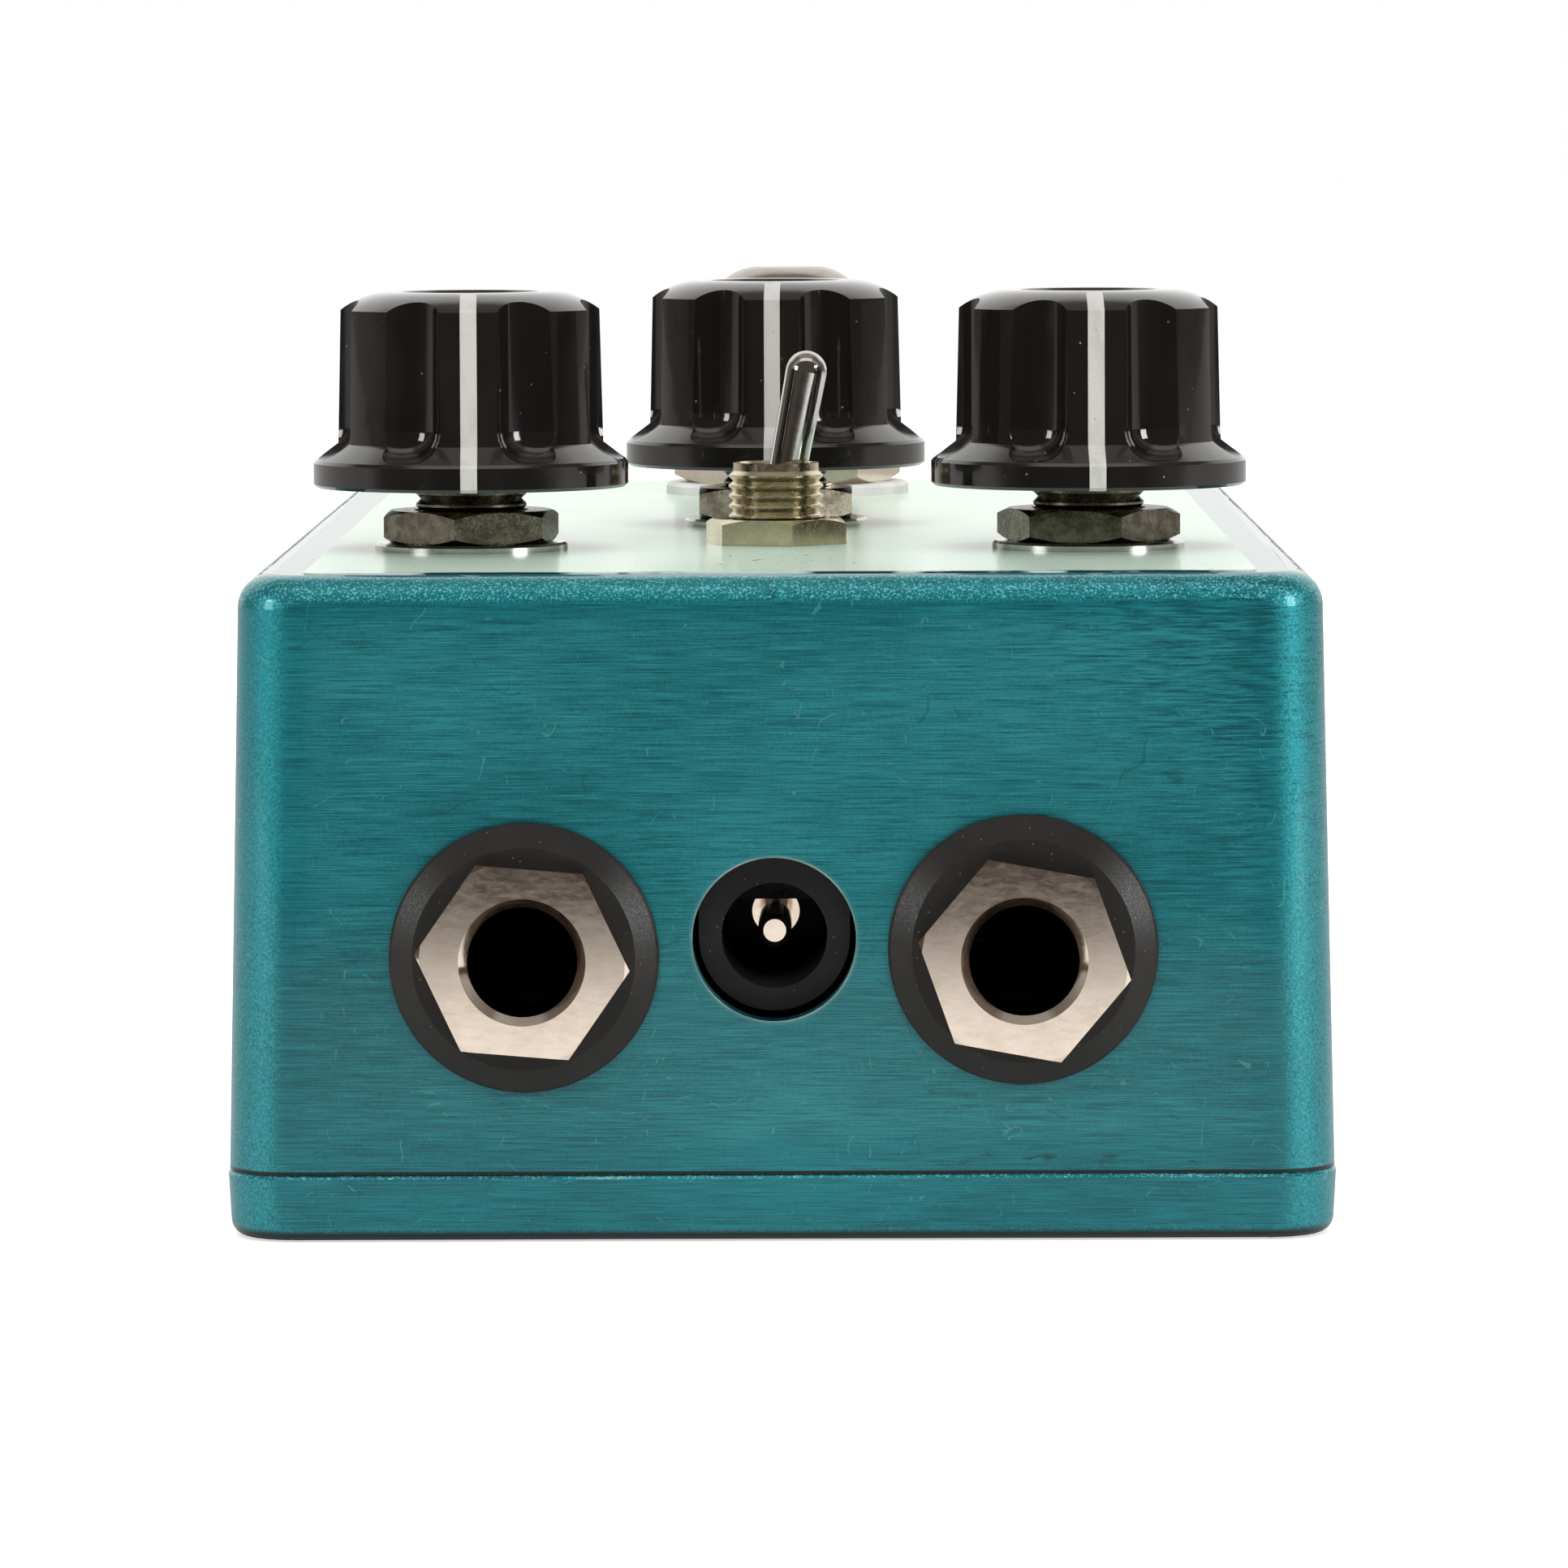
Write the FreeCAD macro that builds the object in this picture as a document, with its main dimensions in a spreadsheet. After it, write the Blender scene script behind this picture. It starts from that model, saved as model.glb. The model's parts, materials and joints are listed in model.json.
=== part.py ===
import FreeCAD, Part
import math
import os
import Sketcher
from FreeCAD import Placement, Rotation, Vector

# A compact guitar effects pedal in a die-cast box: three knobs, a toggle switch and a footswitch on top,
# two quarter-inch jacks and a power socket in the front end wall.
# Frame: +Z up, +X to the right seen from the jack end, +Y from the jack end towards the footswitch.
# The origin is the centre of the lid's underside. Millimetres and degrees.

DIMENSIONS = {
    # die-cast box
    "case_width": 66.0,
    "case_length": 121.0,
    "case_height": 39.5,
    "draft_slope": 0.0213,
    "wall": 2.2,
    "corner_radius": 4.0,
    "top_fillet": 2.0,
    "boss_size": 7.2,
    "boss_inset": 2.4,
    "pilot_radius": 1.75,
    "pilot_depth": 12.0,
    # lid and its screws
    "lid_height": 4.0,
    "lid_overhang": 0.1,
    "lid_slope": 0.05,
    "lid_fillet": 1.0,
    "lid_chamfer": 0.25,
    "lid_floor": 2.2,
    "lip_height": 1.5,
    "lip_width": 1.4,
    "lip_gap": 0.3,
    "screw_radius": 1.7,
    "screw_head_radius": 3.25,
    "screw_head_depth": 1.55,
    "screw_recess": 0.2,
    "screw_top": 13.0,
    # printed label on the roof
    "label_width": 56.6,
    "label_length": 115.2,
    "label_thickness": 0.1,
    "label_corner": 1.0,
    # control positions
    "left_knob_x": -19.35,
    "right_knob_x": 19.1,
    "front_knob_y": -32.5,
    "rear_knob_x": -0.55,
    "rear_knob_y": -4.0,
    "toggle_x": -0.4,
    "toggle_y": -26.5,
    "led_x": -0.5,
    "led_y": 22.5,
    "foot_x": 0.0,
    "foot_y": 40.0,
    # potentiometers
    "pot_can_radius": 8.2,
    "pot_can_height": 8.8,
    "pot_can_wall": 0.6,
    "pot_bushing_radius": 3.45,
    "pot_bushing_height": 7.3,
    "pot_thread_depth": 0.3,
    "pot_thread_pitch": 0.75,
    "pot_bore_radius": 3.05,
    "pot_shaft_radius": 3.0,
    "pot_shaft_top": 15.2,
    "pot_rotor_radius": 6.8,
    "pot_rotor_height": 1.4,
    "pot_washer_radius": 6.0,
    "pot_washer_height": 0.5,
    "pot_nut_flats": 10.0,
    "pot_nut_height": 2.0,
    "pot_pin_radius": 0.5,
    "pot_pin_pitch": 5.0,
    "pot_pin_reach": 10.4,
    # knobs, heights from the knob's base
    "knob_base": 43.55,
    "knob_height": 12.1,
    "knob_skirt_radius": 9.8,
    "knob_rim_height": 1.7,
    "knob_cone_top": 2.75,
    "knob_foot_radius": 8.25,
    "knob_shoulder_radius": 8.05,
    "knob_shoulder_height": 11.0,
    "knob_flat_radius": 4.3,
    "knob_dish": 0.25,
    "knob_recess_radius": 5.5,
    "knob_recess_height": 1.85,
    "flute_radius": 2.5,
    "flute_offset": 9.6,
    "flute_end": 3.65,
    "flute_scoop": 1.9,
    "pointer_width": 1.02,
    "pointer_depth": 0.45,
    "pointer_proud": 0.06,
    "insert_radius": 4.75,
    "insert_top": 9.6,
    "insert_bore_radius": 3.03,
    "insert_bore_top": 9.2,
    "set_screw_radius": 1.45,
    "set_screw_height": 4.6,
    # toggle switch
    "toggle_pivot_z": 40.3,
    "toggle_tilt": 10.8,
    "toggle_body_width": 13.2,
    "toggle_body_depth": 7.9,
    "toggle_body_height": 9.6,
    "toggle_bushing_radius": 2.98,
    "toggle_bushing_top": 7.4,
    "toggle_thread_pitch": 0.635,
    "toggle_thread_depth": 0.27,
    "toggle_top_chamfer": 0.28,
    "toggle_bore_radius": 2.35,
    "toggle_ball_radius": 2.27,
    "toggle_neck_radius": 1.15,
    "toggle_tip_radius": 1.3,
    "toggle_lever_length": 11.6,
    "toggle_tail_length": 4.5,
    "toggle_nut_flats": 8.0,
    "toggle_nut_height": 1.6,
    "toggle_pin_pitch": 4.7,
    # jacks, heights along the jack's own axis from the end wall's outer face
    "left_jack_x": -15.2,
    "right_jack_x": 14.33,
    "jack_z": 16.95,
    "jack_washer_radius": 8.0,
    "jack_washer_flat_radius": 6.6,
    "jack_washer_hole_radius": 4.95,
    "jack_washer_edge": 0.7,
    "jack_washer_height": 1.5,
    "right_washer_rise": 0.4,
    "jack_nut_flats": 11.0,
    "jack_nut_height": 2.5,
    "jack_nut_crown": 6.05,
    "jack_nut_chamfer": 0.35,
    "jack_sleeve_radius": 4.5,
    "jack_sleeve_length": 6.0,
    "jack_bore_radius": 3.25,
    "jack_mouth_radius": 3.75,
    "jack_neck_radius": 5.5,
    "jack_hole_radius": 5.65,
    "jack_body_width": 15.0,
    "jack_body_length": 26.5,
    "jack_chamber_width": 10.0,
    "leaf_thickness": 0.3,
    "leaf_width": 4.0,
    # power socket
    "socket_x": -0.4,
    "socket_z": 17.95,
    "socket_hole_radius": 4.85,
    "socket_width": 9.0,
    "socket_depth": 19.5,
    "socket_bore_radius": 3.15,
    "socket_bore_depth": 10.0,
    "socket_well_end": 15.5,
    "socket_ceiling": 1.2,
    "socket_slot_start": 2.5,
    "socket_slot_lift": 2.75,
    "socket_slot_height": 1.4,
    "socket_leaf_length": 6.5,
    "socket_pin_radius": 1.0,
    "socket_pin_length": 12.7,
    "socket_pin_tail": 3.0,
    "socket_stem_radius": 0.8,
    "socket_flange_radius": 1.45,
    "socket_flange_height": 0.8,
    "socket_gap": 0.3,
    # circuit boards
    "board_underside": 25.2,
    "board_thickness": 1.6,
    "board_width": 56.0,
    "board_front": -48.5,
    "board_rear": 26.5,
    "board_tongue_width": 40.0,
    "board_tongue_front": -56.4,
    "foot_board_underside": 17.4,
    "foot_board_side": 20.0,
    # footswitch
    "foot_body_side": 17.2,
    "foot_body_height": 15.0,
    "foot_body_wall": 1.4,
    "foot_plate": 0.8,
    "foot_bushing_radius": 5.95,
    "foot_bushing_top": 11.5,
    "foot_thread_pitch": 0.9,
    "foot_thread_depth": 0.4,
    "foot_bore_radius": 5.06,
    "foot_button_radius": 5.0,
    "foot_button_top": 18.3,
    "foot_button_dome": 1.5,
    "foot_stop_radius": 6.5,
    "foot_stop_height": 1.5,
    "foot_stop_gap": 0.3,
    "foot_tail": 8.8,
    "foot_washer_radius": 8.6,
    "foot_washer_height": 0.8,
    "foot_nut_flats": 14.0,
    "foot_nut_height": 2.4,
    "foot_lug_pitch": 5.2,
    # indicator
    "led_radius": 2.5,
    "led_dome_top": 6.2,
    "bezel_radius": 4.2,
    "bezel_tube_radius": 3.4,
    "bezel_height": 1.5,
}

KNOB_TURNS = {"left": 1.6, "right": 1.6, "rear": -1.2}
POT_NUT_TURNS = {"left": 22.0, "right": -11.0, "rear": 30.0}
FLUTES = 7
ROOT_HALF = math.sqrt(0.5)
# beyond a hexagon's corners, as a share of its width across flats
HEX_REACH = 0.62
TOGGLE_NUT_TURN = -17.0

doc = FreeCAD.newDocument("EffectsPedal")
sheet = doc.addObject("Spreadsheet::Sheet", "Sizes")
for row, (alias, number) in enumerate(DIMENSIONS.items(), start=1):
    sheet.set("A%d" % row, alias)
    sheet.set("B%d" % row, str(number))
    sheet.setAlias("B%d" % row, alias)
doc.recompute()


class Size:
    """A number that remembers the spreadsheet expression it came from."""

    def __init__(self, value, text):
        self.value = float(value)
        self.text = text

    def _join(self, other, sign, value):
        return Size(value, "(%s %s %s)" % (self.text, sign, as_size(other).text))

    def __add__(self, other):
        return self._join(other, "+", self.value + float(other))

    def __radd__(self, other):
        return as_size(other) + self

    def __sub__(self, other):
        return self._join(other, "-", self.value - float(other))

    def __rsub__(self, other):
        return as_size(other) - self

    def __mul__(self, other):
        return self._join(other, "*", self.value * float(other))

    def __rmul__(self, other):
        return as_size(other) * self

    def __truediv__(self, other):
        return self._join(other, "/", self.value / float(other))

    def __neg__(self):
        return Size(-self.value, "(-1 * %s)" % self.text)

    def __float__(self):
        return self.value


def as_size(number):
    return number if isinstance(number, Size) else Size(number, repr(float(number)))


def size(alias):
    return Size(DIMENSIONS[alias], "Sizes." + alias)


def slope_angle(alias):
    """The angle, in degrees, whose tangent is a sheet value."""
    return Size(math.degrees(math.atan(DIMENSIONS[alias])), "atan(Sizes.%s)" % alias)


# ---------------------------------------------------------------- building blocks

SUBPARTS = []


def bind(item, **values):
    """Set properties, and tie each one that is a Size to the sheet."""
    for name, value in values.items():
        if isinstance(value, Size):
            setattr(item, name, value.value)
            item.setExpression(name, value.text)
        else:
            setattr(item, name, value)
    return item


def locate(item, x=0.0, y=0.0, z=0.0, rotation=None):
    """Place an item, with its position tied to the sheet."""
    item.Placement = Placement(Vector(float(x), float(y), float(z)), rotation or Rotation())
    for axis, value in (("x", x), ("y", y), ("z", z)):
        if isinstance(value, Size):
            item.setExpression("Placement.Base." + axis, value.text)
    return item


def turn(degrees, axis=(0, 0, 1)):
    return Rotation(Vector(*axis), float(degrees))


def subpart(item, label):
    """Name a finished piece: its label is also its file's name."""
    item.Label = label
    SUBPARTS.append(item)
    return item


def box(name, low, high):
    """A box between two corners, each a triple of sizes."""
    spans = [as_size(top) - as_size(bottom) for bottom, top in zip(low, high)]
    item = doc.addObject("Part::Box", name)
    bind(item, Length=spans[0], Width=spans[1], Height=spans[2])
    return locate(item, *[as_size(value) for value in low])


def cylinder(name, radius, height, x=0.0, y=0.0, z=0.0, rotation=None):
    item = doc.addObject("Part::Cylinder", name)
    bind(item, Radius=as_size(radius), Height=as_size(height))
    return locate(item, x, y, z, rotation)


def cone(name, low_radius, high_radius, height, x=0.0, y=0.0, z=0.0):
    item = doc.addObject("Part::Cone", name)
    bind(item, Radius1=as_size(low_radius), Radius2=as_size(high_radius), Height=as_size(height))
    return locate(item, x, y, z)


def hexagon(name, across_flats, height, z=0.0, degrees=0.0):
    item = doc.addObject("Part::Prism", name)
    bind(item, Polygon=6, Circumradius=across_flats / math.sqrt(3.0), Height=as_size(height))
    return locate(item, z=z, rotation=turn(degrees))


def cut(name, base, *tools):
    """The base with the tools taken away; fails if they miss it."""
    tool = tools[0] if len(tools) == 1 else group(name + "_tools", *tools)
    item = doc.addObject("Part::Cut", name)
    item.Base = base
    item.Tool = tool
    doc.recompute()
    if item.Shape.Volume > base.Shape.Volume - 1e-4:
        raise RuntimeError(name + ": the cut removes nothing")
    return item


def fuse(name, *items):
    item = doc.addObject("Part::MultiFuse", name)
    item.Shapes = list(items)
    item.Refine = True
    return item


def group(name, *items):
    """Separate solids kept together as one object."""
    item = doc.addObject("Part::Compound", name)
    item.Links = list(items)
    return item


def common(name, first, second):
    item = doc.addObject("Part::MultiCommon", name)
    item.Shapes = [first, second]
    return item


def new_body(name):
    return doc.addObject("PartDesign::Body", name)


def new_sketch(body, role, name, lift=0.0):
    """A sketch on one of the body's own origin planes, lifted along its normal."""
    plane = [item for item in body.Origin.OriginFeatures if item.Role == role][0]
    sketch = body.newObject("Sketcher::SketchObject", name)
    sketch.AttachmentSupport = (plane, "")
    sketch.MapMode = "FlatFace"
    sketch.AttachmentOffset = Placement(Vector(0, 0, float(lift)), Rotation())
    if isinstance(lift, Size):
        sketch.setExpression("AttachmentOffset.Base.z", lift.text)
    return sketch


def pin_point(sketch, geometry, end, point):
    """Tie one end of a line to a point whose coordinates come from the sheet."""
    for kind, value in (("DistanceX", point[0]), ("DistanceY", point[1])):
        value = as_size(value)
        index = sketch.addConstraint(Sketcher.Constraint(kind, -1, 1, geometry, end, value.value))
        sketch.setExpression("Constraints[%d]" % index, value.text)


def draw_loop(sketch, points):
    """A closed outline. A point may carry a third item: the middle point of the arc that leaves it."""
    first = sketch.GeometryCount
    for index, point in enumerate(points):
        following = points[(index + 1) % len(points)]
        start = Vector(float(point[0]), float(point[1]), 0)
        end = Vector(float(following[0]), float(following[1]), 0)
        if len(point) == 3:
            middle = Vector(float(point[2][0]), float(point[2][1]), 0)
            sketch.addGeometry(Part.Arc(start, middle, end), False)
        else:
            sketch.addGeometry(Part.LineSegment(start, end), False)
    for index, point in enumerate(points):
        if len(point) == 2:
            pin_point(sketch, first + index, 1, point)
            if len(points[(index + 1) % len(points)]) == 3:
                pin_point(sketch, first + index, 2, points[(index + 1) % len(points)])


def draw_rectangle(sketch, low_x, low_y, high_x, high_y):
    draw_loop(sketch, [(low_x, low_y), (high_x, low_y), (high_x, high_y), (low_x, high_y)])


def pad(body, sketch, name, length, **settings):
    feature = body.newObject("PartDesign::Pad", name)
    feature.Profile = sketch
    return bind(feature, Length=as_size(length), **settings)


def pocket(body, sketch, name, length, **settings):
    """A pocket whose direction is checked: it has to take material away."""
    doc.recompute()
    before = body.Shape.Volume
    feature = body.newObject("PartDesign::Pocket", name)
    feature.Profile = sketch
    bind(feature, Length=as_size(length), **settings)
    doc.recompute()
    if body.Shape.Volume > before - 1e-4:
        raise RuntimeError(name + ": the pocket removes nothing")
    return feature


def turned(name, points):
    """A body turned about Z from an outline of (radius, height) points."""
    body = new_body(name)
    sketch = new_sketch(body, "XZ_Plane", name + "_outline")
    draw_loop(sketch, points)
    feature = body.newObject("PartDesign::Revolution", name + "_turn")
    feature.Profile = sketch
    feature.ReferenceAxis = (sketch, ["V_Axis"])
    feature.Angle = 360.0
    return body


def edge_names(shape, wanted):
    return ["Edge%d" % (index + 1) for index, edge in enumerate(shape.Edges) if wanted(edge)]


def round_edges(body, base, name, radius, wanted):
    doc.recompute()
    feature = body.newObject("PartDesign::Fillet", name)
    feature.Base = (base, edge_names(base.Shape, wanted))
    return bind(feature, Radius=as_size(radius))


def level_edge(height):
    """A test for edges that lie flat at one height."""
    return lambda edge: all(abs(vertex.Z - float(height)) < 1e-4 for vertex in edge.Vertexes)


def standing_edge(edge):
    rise = abs(edge.Vertexes[0].Z - edge.Vertexes[-1].Z)
    return len(edge.Vertexes) == 2 and rise > 0.9 * edge.Length


def thread_points(radius, depth, pitch, low, high):
    """The zigzag side of a threaded stud: ring-shaped ridges down from high, run out just above low."""
    ridges = int((float(high) - float(low)) / float(pitch))
    first = high - pitch * ridges
    points = [(radius - depth, low)]
    for ridge in range(ridges):
        points.append((radius - depth, first + pitch * ridge))
        points.append((radius, first + pitch * (ridge + 0.4)))
        points.append((radius, first + pitch * (ridge + 0.6)))
    points.append((radius - depth, high))
    return points


def hex_nut(name, flats, height, hole_radius, degrees, both_ends):
    """A chamfered hexagon nut standing on z = 0."""
    edge = flats / 2
    reach = flats * HEX_REACH
    drop = (reach - edge) * 0.5
    foot = [(edge, 0.0), (reach, drop)] if both_ends else [(reach, 0.0)]
    outline = [(hole_radius, 0.0)] + foot + [(reach, height - drop), (edge, height), (hole_radius, height)]
    blank = turned(name + "_blank", outline)
    prism = hexagon(name + "_prism", flats, height, degrees=degrees)
    return common(name, blank, prism)


def flat_washer(name, radius, hole_radius, height):
    """A stamped washer: its upper rim is slightly rolled over."""
    roll = height * 0.3
    outline = [(hole_radius, 0.0), (radius, 0.0), (radius, height - roll)]
    outline += [(radius - roll, height), (hole_radius, height)]
    return turned(name, outline)


# ---------------------------------------------------------------- derived sizes

half_width = size("case_width") / 2
half_length = size("case_length") / 2
roof_top = size("case_height")
roof_under = size("case_height") - size("wall")
seam = size("lid_height")
label_top = roof_top + size("label_thickness")
board_top = size("board_underside") + size("board_thickness")
screw_x = half_width - size("boss_inset") - size("boss_size") / 2
screw_y = half_length - size("boss_inset") - size("boss_size") / 2
CORNERS = [(sign_x, sign_y) for sign_x in (-1, 1) for sign_y in (-1, 1)]

KNOBS = {
    "left": (size("left_knob_x"), size("front_knob_y")),
    "right": (size("right_knob_x"), size("front_knob_y")),
    "rear": (size("rear_knob_x"), size("rear_knob_y")),
}
JACKS = {
    "input": (size("right_jack_x"), size("right_washer_rise"), -10.3),
    "output": (size("left_jack_x"), 0.0, -4.7),
}
outward = turn(90.0 - math.degrees(math.atan(DIMENSIONS["draft_slope"])), (1, 0, 0))


def end_wall_y(height):
    """The sloping front end wall's outer face at a height."""
    return (height - seam) * size("draft_slope") - half_length


def on_end_wall(item, x, z):
    """Stand an item on the front end wall, its own +Z pointing out of the box."""
    return locate(item, x, end_wall_y(z), z, outward)


# ---------------------------------------------------------------- box and lid


def make_shell():
    body = new_body("shell_casting")
    outline = new_sketch(body, "XY_Plane", "shell_outline", seam)
    draw_rectangle(outline, -half_width, -half_length, half_width, half_length)
    taper = -slope_angle("draft_slope")
    block = pad(body, outline, "shell_block", roof_top - seam, TaperAngle=taper)
    corners = round_edges(body, block, "shell_corners", size("corner_radius"), standing_edge)
    round_edges(body, corners, "shell_top_edge", size("top_fillet"), level_edge(roof_top))

    inside_x = half_width - size("wall")
    inside_y = half_length - size("wall")
    inside = new_sketch(body, "XY_Plane", "shell_inside", seam)
    draw_rectangle(inside, -inside_x, -inside_y, inside_x, inside_y)
    pocket(body, inside, "shell_cavity", roof_under - seam, TaperAngle=taper, Reversed=True)

    bosses = new_sketch(body, "XY_Plane", "shell_bosses", seam)
    reach = size("boss_size") / 2
    for sign_x, sign_y in CORNERS:
        middle_x = screw_x * sign_x
        middle_y = screw_y * sign_y
        draw_rectangle(bosses, middle_x - reach, middle_y - reach, middle_x + reach, middle_y + reach)
    pad(body, bosses, "shell_boss_posts", roof_under - seam + 0.5)

    drills = []
    for sign_x, sign_y in CORNERS:
        drills.append(cylinder("pilot", size("pilot_radius"), size("pilot_depth"),
                               screw_x * sign_x, screw_y * sign_y, seam))
    drill_height = size("wall") * 2
    drill_foot = roof_under - size("wall") / 2
    for name, (x, y, radius) in roof_holes().items():
        drills.append(cylinder(name + "_drill", radius, drill_height, x, y, drill_foot))
    for name, (jack_x, _, _) in JACKS.items():
        drill = cylinder(name + "_drill", size("jack_hole_radius"), size("wall") * 4)
        drills.append(drill_through_end_wall(drill, jack_x, size("jack_z")))
    drill = cylinder("socket_drill", size("socket_hole_radius"), size("wall") * 4)
    drills.append(drill_through_end_wall(drill, size("socket_x"), size("socket_z")))
    subpart(cut("shell", body, *drills), "enclosure_shell")


def drill_through_end_wall(drill, x, z):
    """A drill across the end wall, starting well inside the box and ending outside it."""
    back = size("wall") * 2
    return locate(drill, x, end_wall_y(z) + back, z - back * size("draft_slope"), outward)


def roof_holes():
    """Holes in the roof and in the label: name to centre and radius."""
    holes = {}
    for side, (x, y) in KNOBS.items():
        holes[side + "_pot"] = (x, y, size("pot_bushing_radius") + 0.15)
    holes["toggle"] = (size("toggle_x"), size("toggle_y"), size("toggle_bushing_radius") + 0.15)
    holes["footswitch"] = (size("foot_x"), size("foot_y"), size("foot_bushing_radius") + 0.15)
    holes["indicator"] = (size("led_x"), size("led_y"), size("bezel_tube_radius") + 0.05)
    return holes


def make_lid():
    body = new_body("lid_casting")
    lid_x = half_width + size("lid_overhang")
    lid_y = half_length + size("lid_overhang")
    outline = new_sketch(body, "XY_Plane", "lid_outline", seam)
    draw_rectangle(outline, -lid_x, -lid_y, lid_x, lid_y)
    taper = -slope_angle("lid_slope")
    plate = pad(body, outline, "lid_plate", seam, TaperAngle=taper, Reversed=True)
    corners = round_edges(body, plate, "lid_corners", size("corner_radius"), standing_edge)
    bottom = round_edges(body, corners, "lid_bottom_edge", size("lid_fillet"), level_edge(0.0))
    doc.recompute()
    rim = body.newObject("PartDesign::Chamfer", "lid_top_edge")
    rim.Base = (bottom, edge_names(bottom.Shape, level_edge(seam)))
    bind(rim, Size=size("lid_chamfer"))

    # the hollow on the inner side leaves a thick block under each of the box's corner posts
    hollow = new_sketch(body, "XY_Plane", "lid_hollow_outline", seam)
    far_x = half_width - size("wall") - size("lip_gap") - size("lip_width")
    far_y = half_length - size("wall") - size("lip_gap") - size("lip_width")
    near_x = screw_x - size("boss_size") / 2 - 1.0
    near_y = screw_y - size("boss_size") / 2 - 1.0
    cross = [(far_x, -near_y), (far_x, near_y), (near_x, near_y), (near_x, far_y)]
    cross += [(-near_x, far_y), (-near_x, near_y), (-far_x, near_y), (-far_x, -near_y)]
    cross += [(-near_x, -near_y), (-near_x, -far_y), (near_x, -far_y), (near_x, -near_y)]
    draw_loop(hollow, cross)
    pocket(body, hollow, "lid_hollow", seam - size("lid_floor"))

    # the locating lip: four straight ribs that stand just inside the box's walls
    lip = new_sketch(body, "XY_Plane", "lid_lip_outline", seam)
    rib = size("lip_width")
    for sign in (-1, 1):
        inner, outer = (far_x * sign, (far_x + rib) * sign)
        draw_rectangle(lip, inner, -near_y, outer, near_y)
        inner, outer = (far_y * sign, (far_y + rib) * sign)
        draw_rectangle(lip, -near_x, inner, near_x, outer)
    pad(body, lip, "lid_lip", size("lip_height"))

    drills = []
    for sign_x, sign_y in CORNERS:
        x, y = (screw_x * sign_x, screw_y * sign_y)
        drills.append(cylinder("lid_drill", size("screw_radius") + 0.25, seam + 2.0, x, y, -1.0))
        head = size("screw_head_radius") + 0.2
        sink = size("screw_head_depth") + 0.1
        drills.append(cone("lid_sink", head, size("screw_radius") + 0.25, sink, x, y, 0.0))
    subpart(cut("lid", body, *drills), "base_lid")


def make_lid_screws():
    """Four countersunk screws with cross-recessed heads, one in each corner of the lid."""
    screws = []
    head_foot = size("screw_recess")
    head_end = head_foot + size("screw_head_depth")
    for sign_x, sign_y in CORNERS:
        outline = [(0.0, head_foot), (size("screw_head_radius"), head_foot), (size("screw_radius"), head_end)]
        outline += [(size("screw_radius"), size("screw_top") - 1.0), (0.6, size("screw_top"))]
        outline += [(0.0, size("screw_top"))]
        blank = turned("screw_blank", outline)
        long_slot = box("slot_long", (-1.8, -0.35, -0.1), (1.8, 0.35, head_foot + 1.1))
        short_slot = box("slot_short", (-0.35, -1.8, -0.1), (0.35, 1.8, head_foot + 1.1))
        screw = cut("lid_screw", blank, long_slot, short_slot)
        screws.append(locate(screw, screw_x * sign_x, screw_y * sign_y, 0.0))
    subpart(group("screws", *screws), "lid_screws")


def make_label():
    body = new_body("label_sheet")
    outline = new_sketch(body, "XY_Plane", "label_outline", roof_top)
    label_x = size("label_width") / 2
    label_y = size("label_length") / 2
    draw_rectangle(outline, -label_x, -label_y, label_x, label_y)
    sheet_pad = pad(body, outline, "label_pad", size("label_thickness"))
    round_edges(body, sheet_pad, "label_corners", size("label_corner"), standing_edge)
    punches = []
    for name, (x, y, radius) in roof_holes().items():
        punches.append(cylinder(name + "_punch", radius, 1.0, x, y, roof_top - 0.5))
    subpart(cut("label", body, *punches), "top_label")


# ---------------------------------------------------------------- potentiometers and knobs


def make_pot(side, x, y):
    """A rotary potentiometer hung under the roof. Heights run from the roof's underside."""
    can = size("pot_can_radius")
    depth = size("pot_can_height")
    skin = size("pot_can_wall")
    bore = size("pot_bore_radius")
    stud = size("pot_bushing_radius")
    stud_top = size("pot_bushing_height")
    outline = [(0.0, -depth), (can, -depth), (can, 0.0)]
    outline += thread_points(stud, size("pot_thread_depth"), size("pot_thread_pitch"), 0.0, stud_top - 0.3)
    outline += [(stud - size("pot_thread_depth"), stud_top), (bore, stud_top), (bore, -skin)]
    outline += [(can - skin, -skin), (can - skin, skin - depth), (0.0, skin - depth)]
    subpart(locate(turned(side + "_can", outline), x, y, roof_under), side + "_pot_body")

    shaft = size("pot_shaft_radius")
    top = size("pot_shaft_top")
    rotor = size("pot_rotor_radius")
    rotor_top = skin - depth + 3.0 + size("pot_rotor_height")
    outline = [(0.0, skin - depth + 1.0), (shaft, skin - depth + 1.0), (shaft, skin - depth + 3.0)]
    outline += [(rotor, skin - depth + 3.0), (rotor, rotor_top), (shaft, rotor_top)]
    outline += [(shaft, top - 0.4), (shaft - 0.4, top), (0.0, top)]
    subpart(locate(turned(side + "_rotor", outline), x, y, roof_under), side + "_pot_shaft")

    # terminal wafer clinched to the rear of the can, with its pins going down into the board
    reach = size("pot_pin_reach")
    wafer = box(side + "_wafer", (-7.0, 4.0, 0.6 - depth), (7.0, reach + 1.2, 1.8 - depth))
    wafer = cut(side + "_wafer_cut", wafer, cylinder(side + "_wafer_seat", can, depth, z=-depth))
    pin_foot = size("board_underside") - 0.8 - roof_under
    pins = [wafer]
    for step in (-1, 0, 1):
        pins.append(cylinder(side + "_pin", size("pot_pin_radius"), 1.2 - depth - pin_foot,
                             size("pot_pin_pitch") * step, reach, pin_foot))
    subpart(locate(fuse(side + "_pins", *pins), x, y, roof_under), side + "_pot_terminals")


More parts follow.
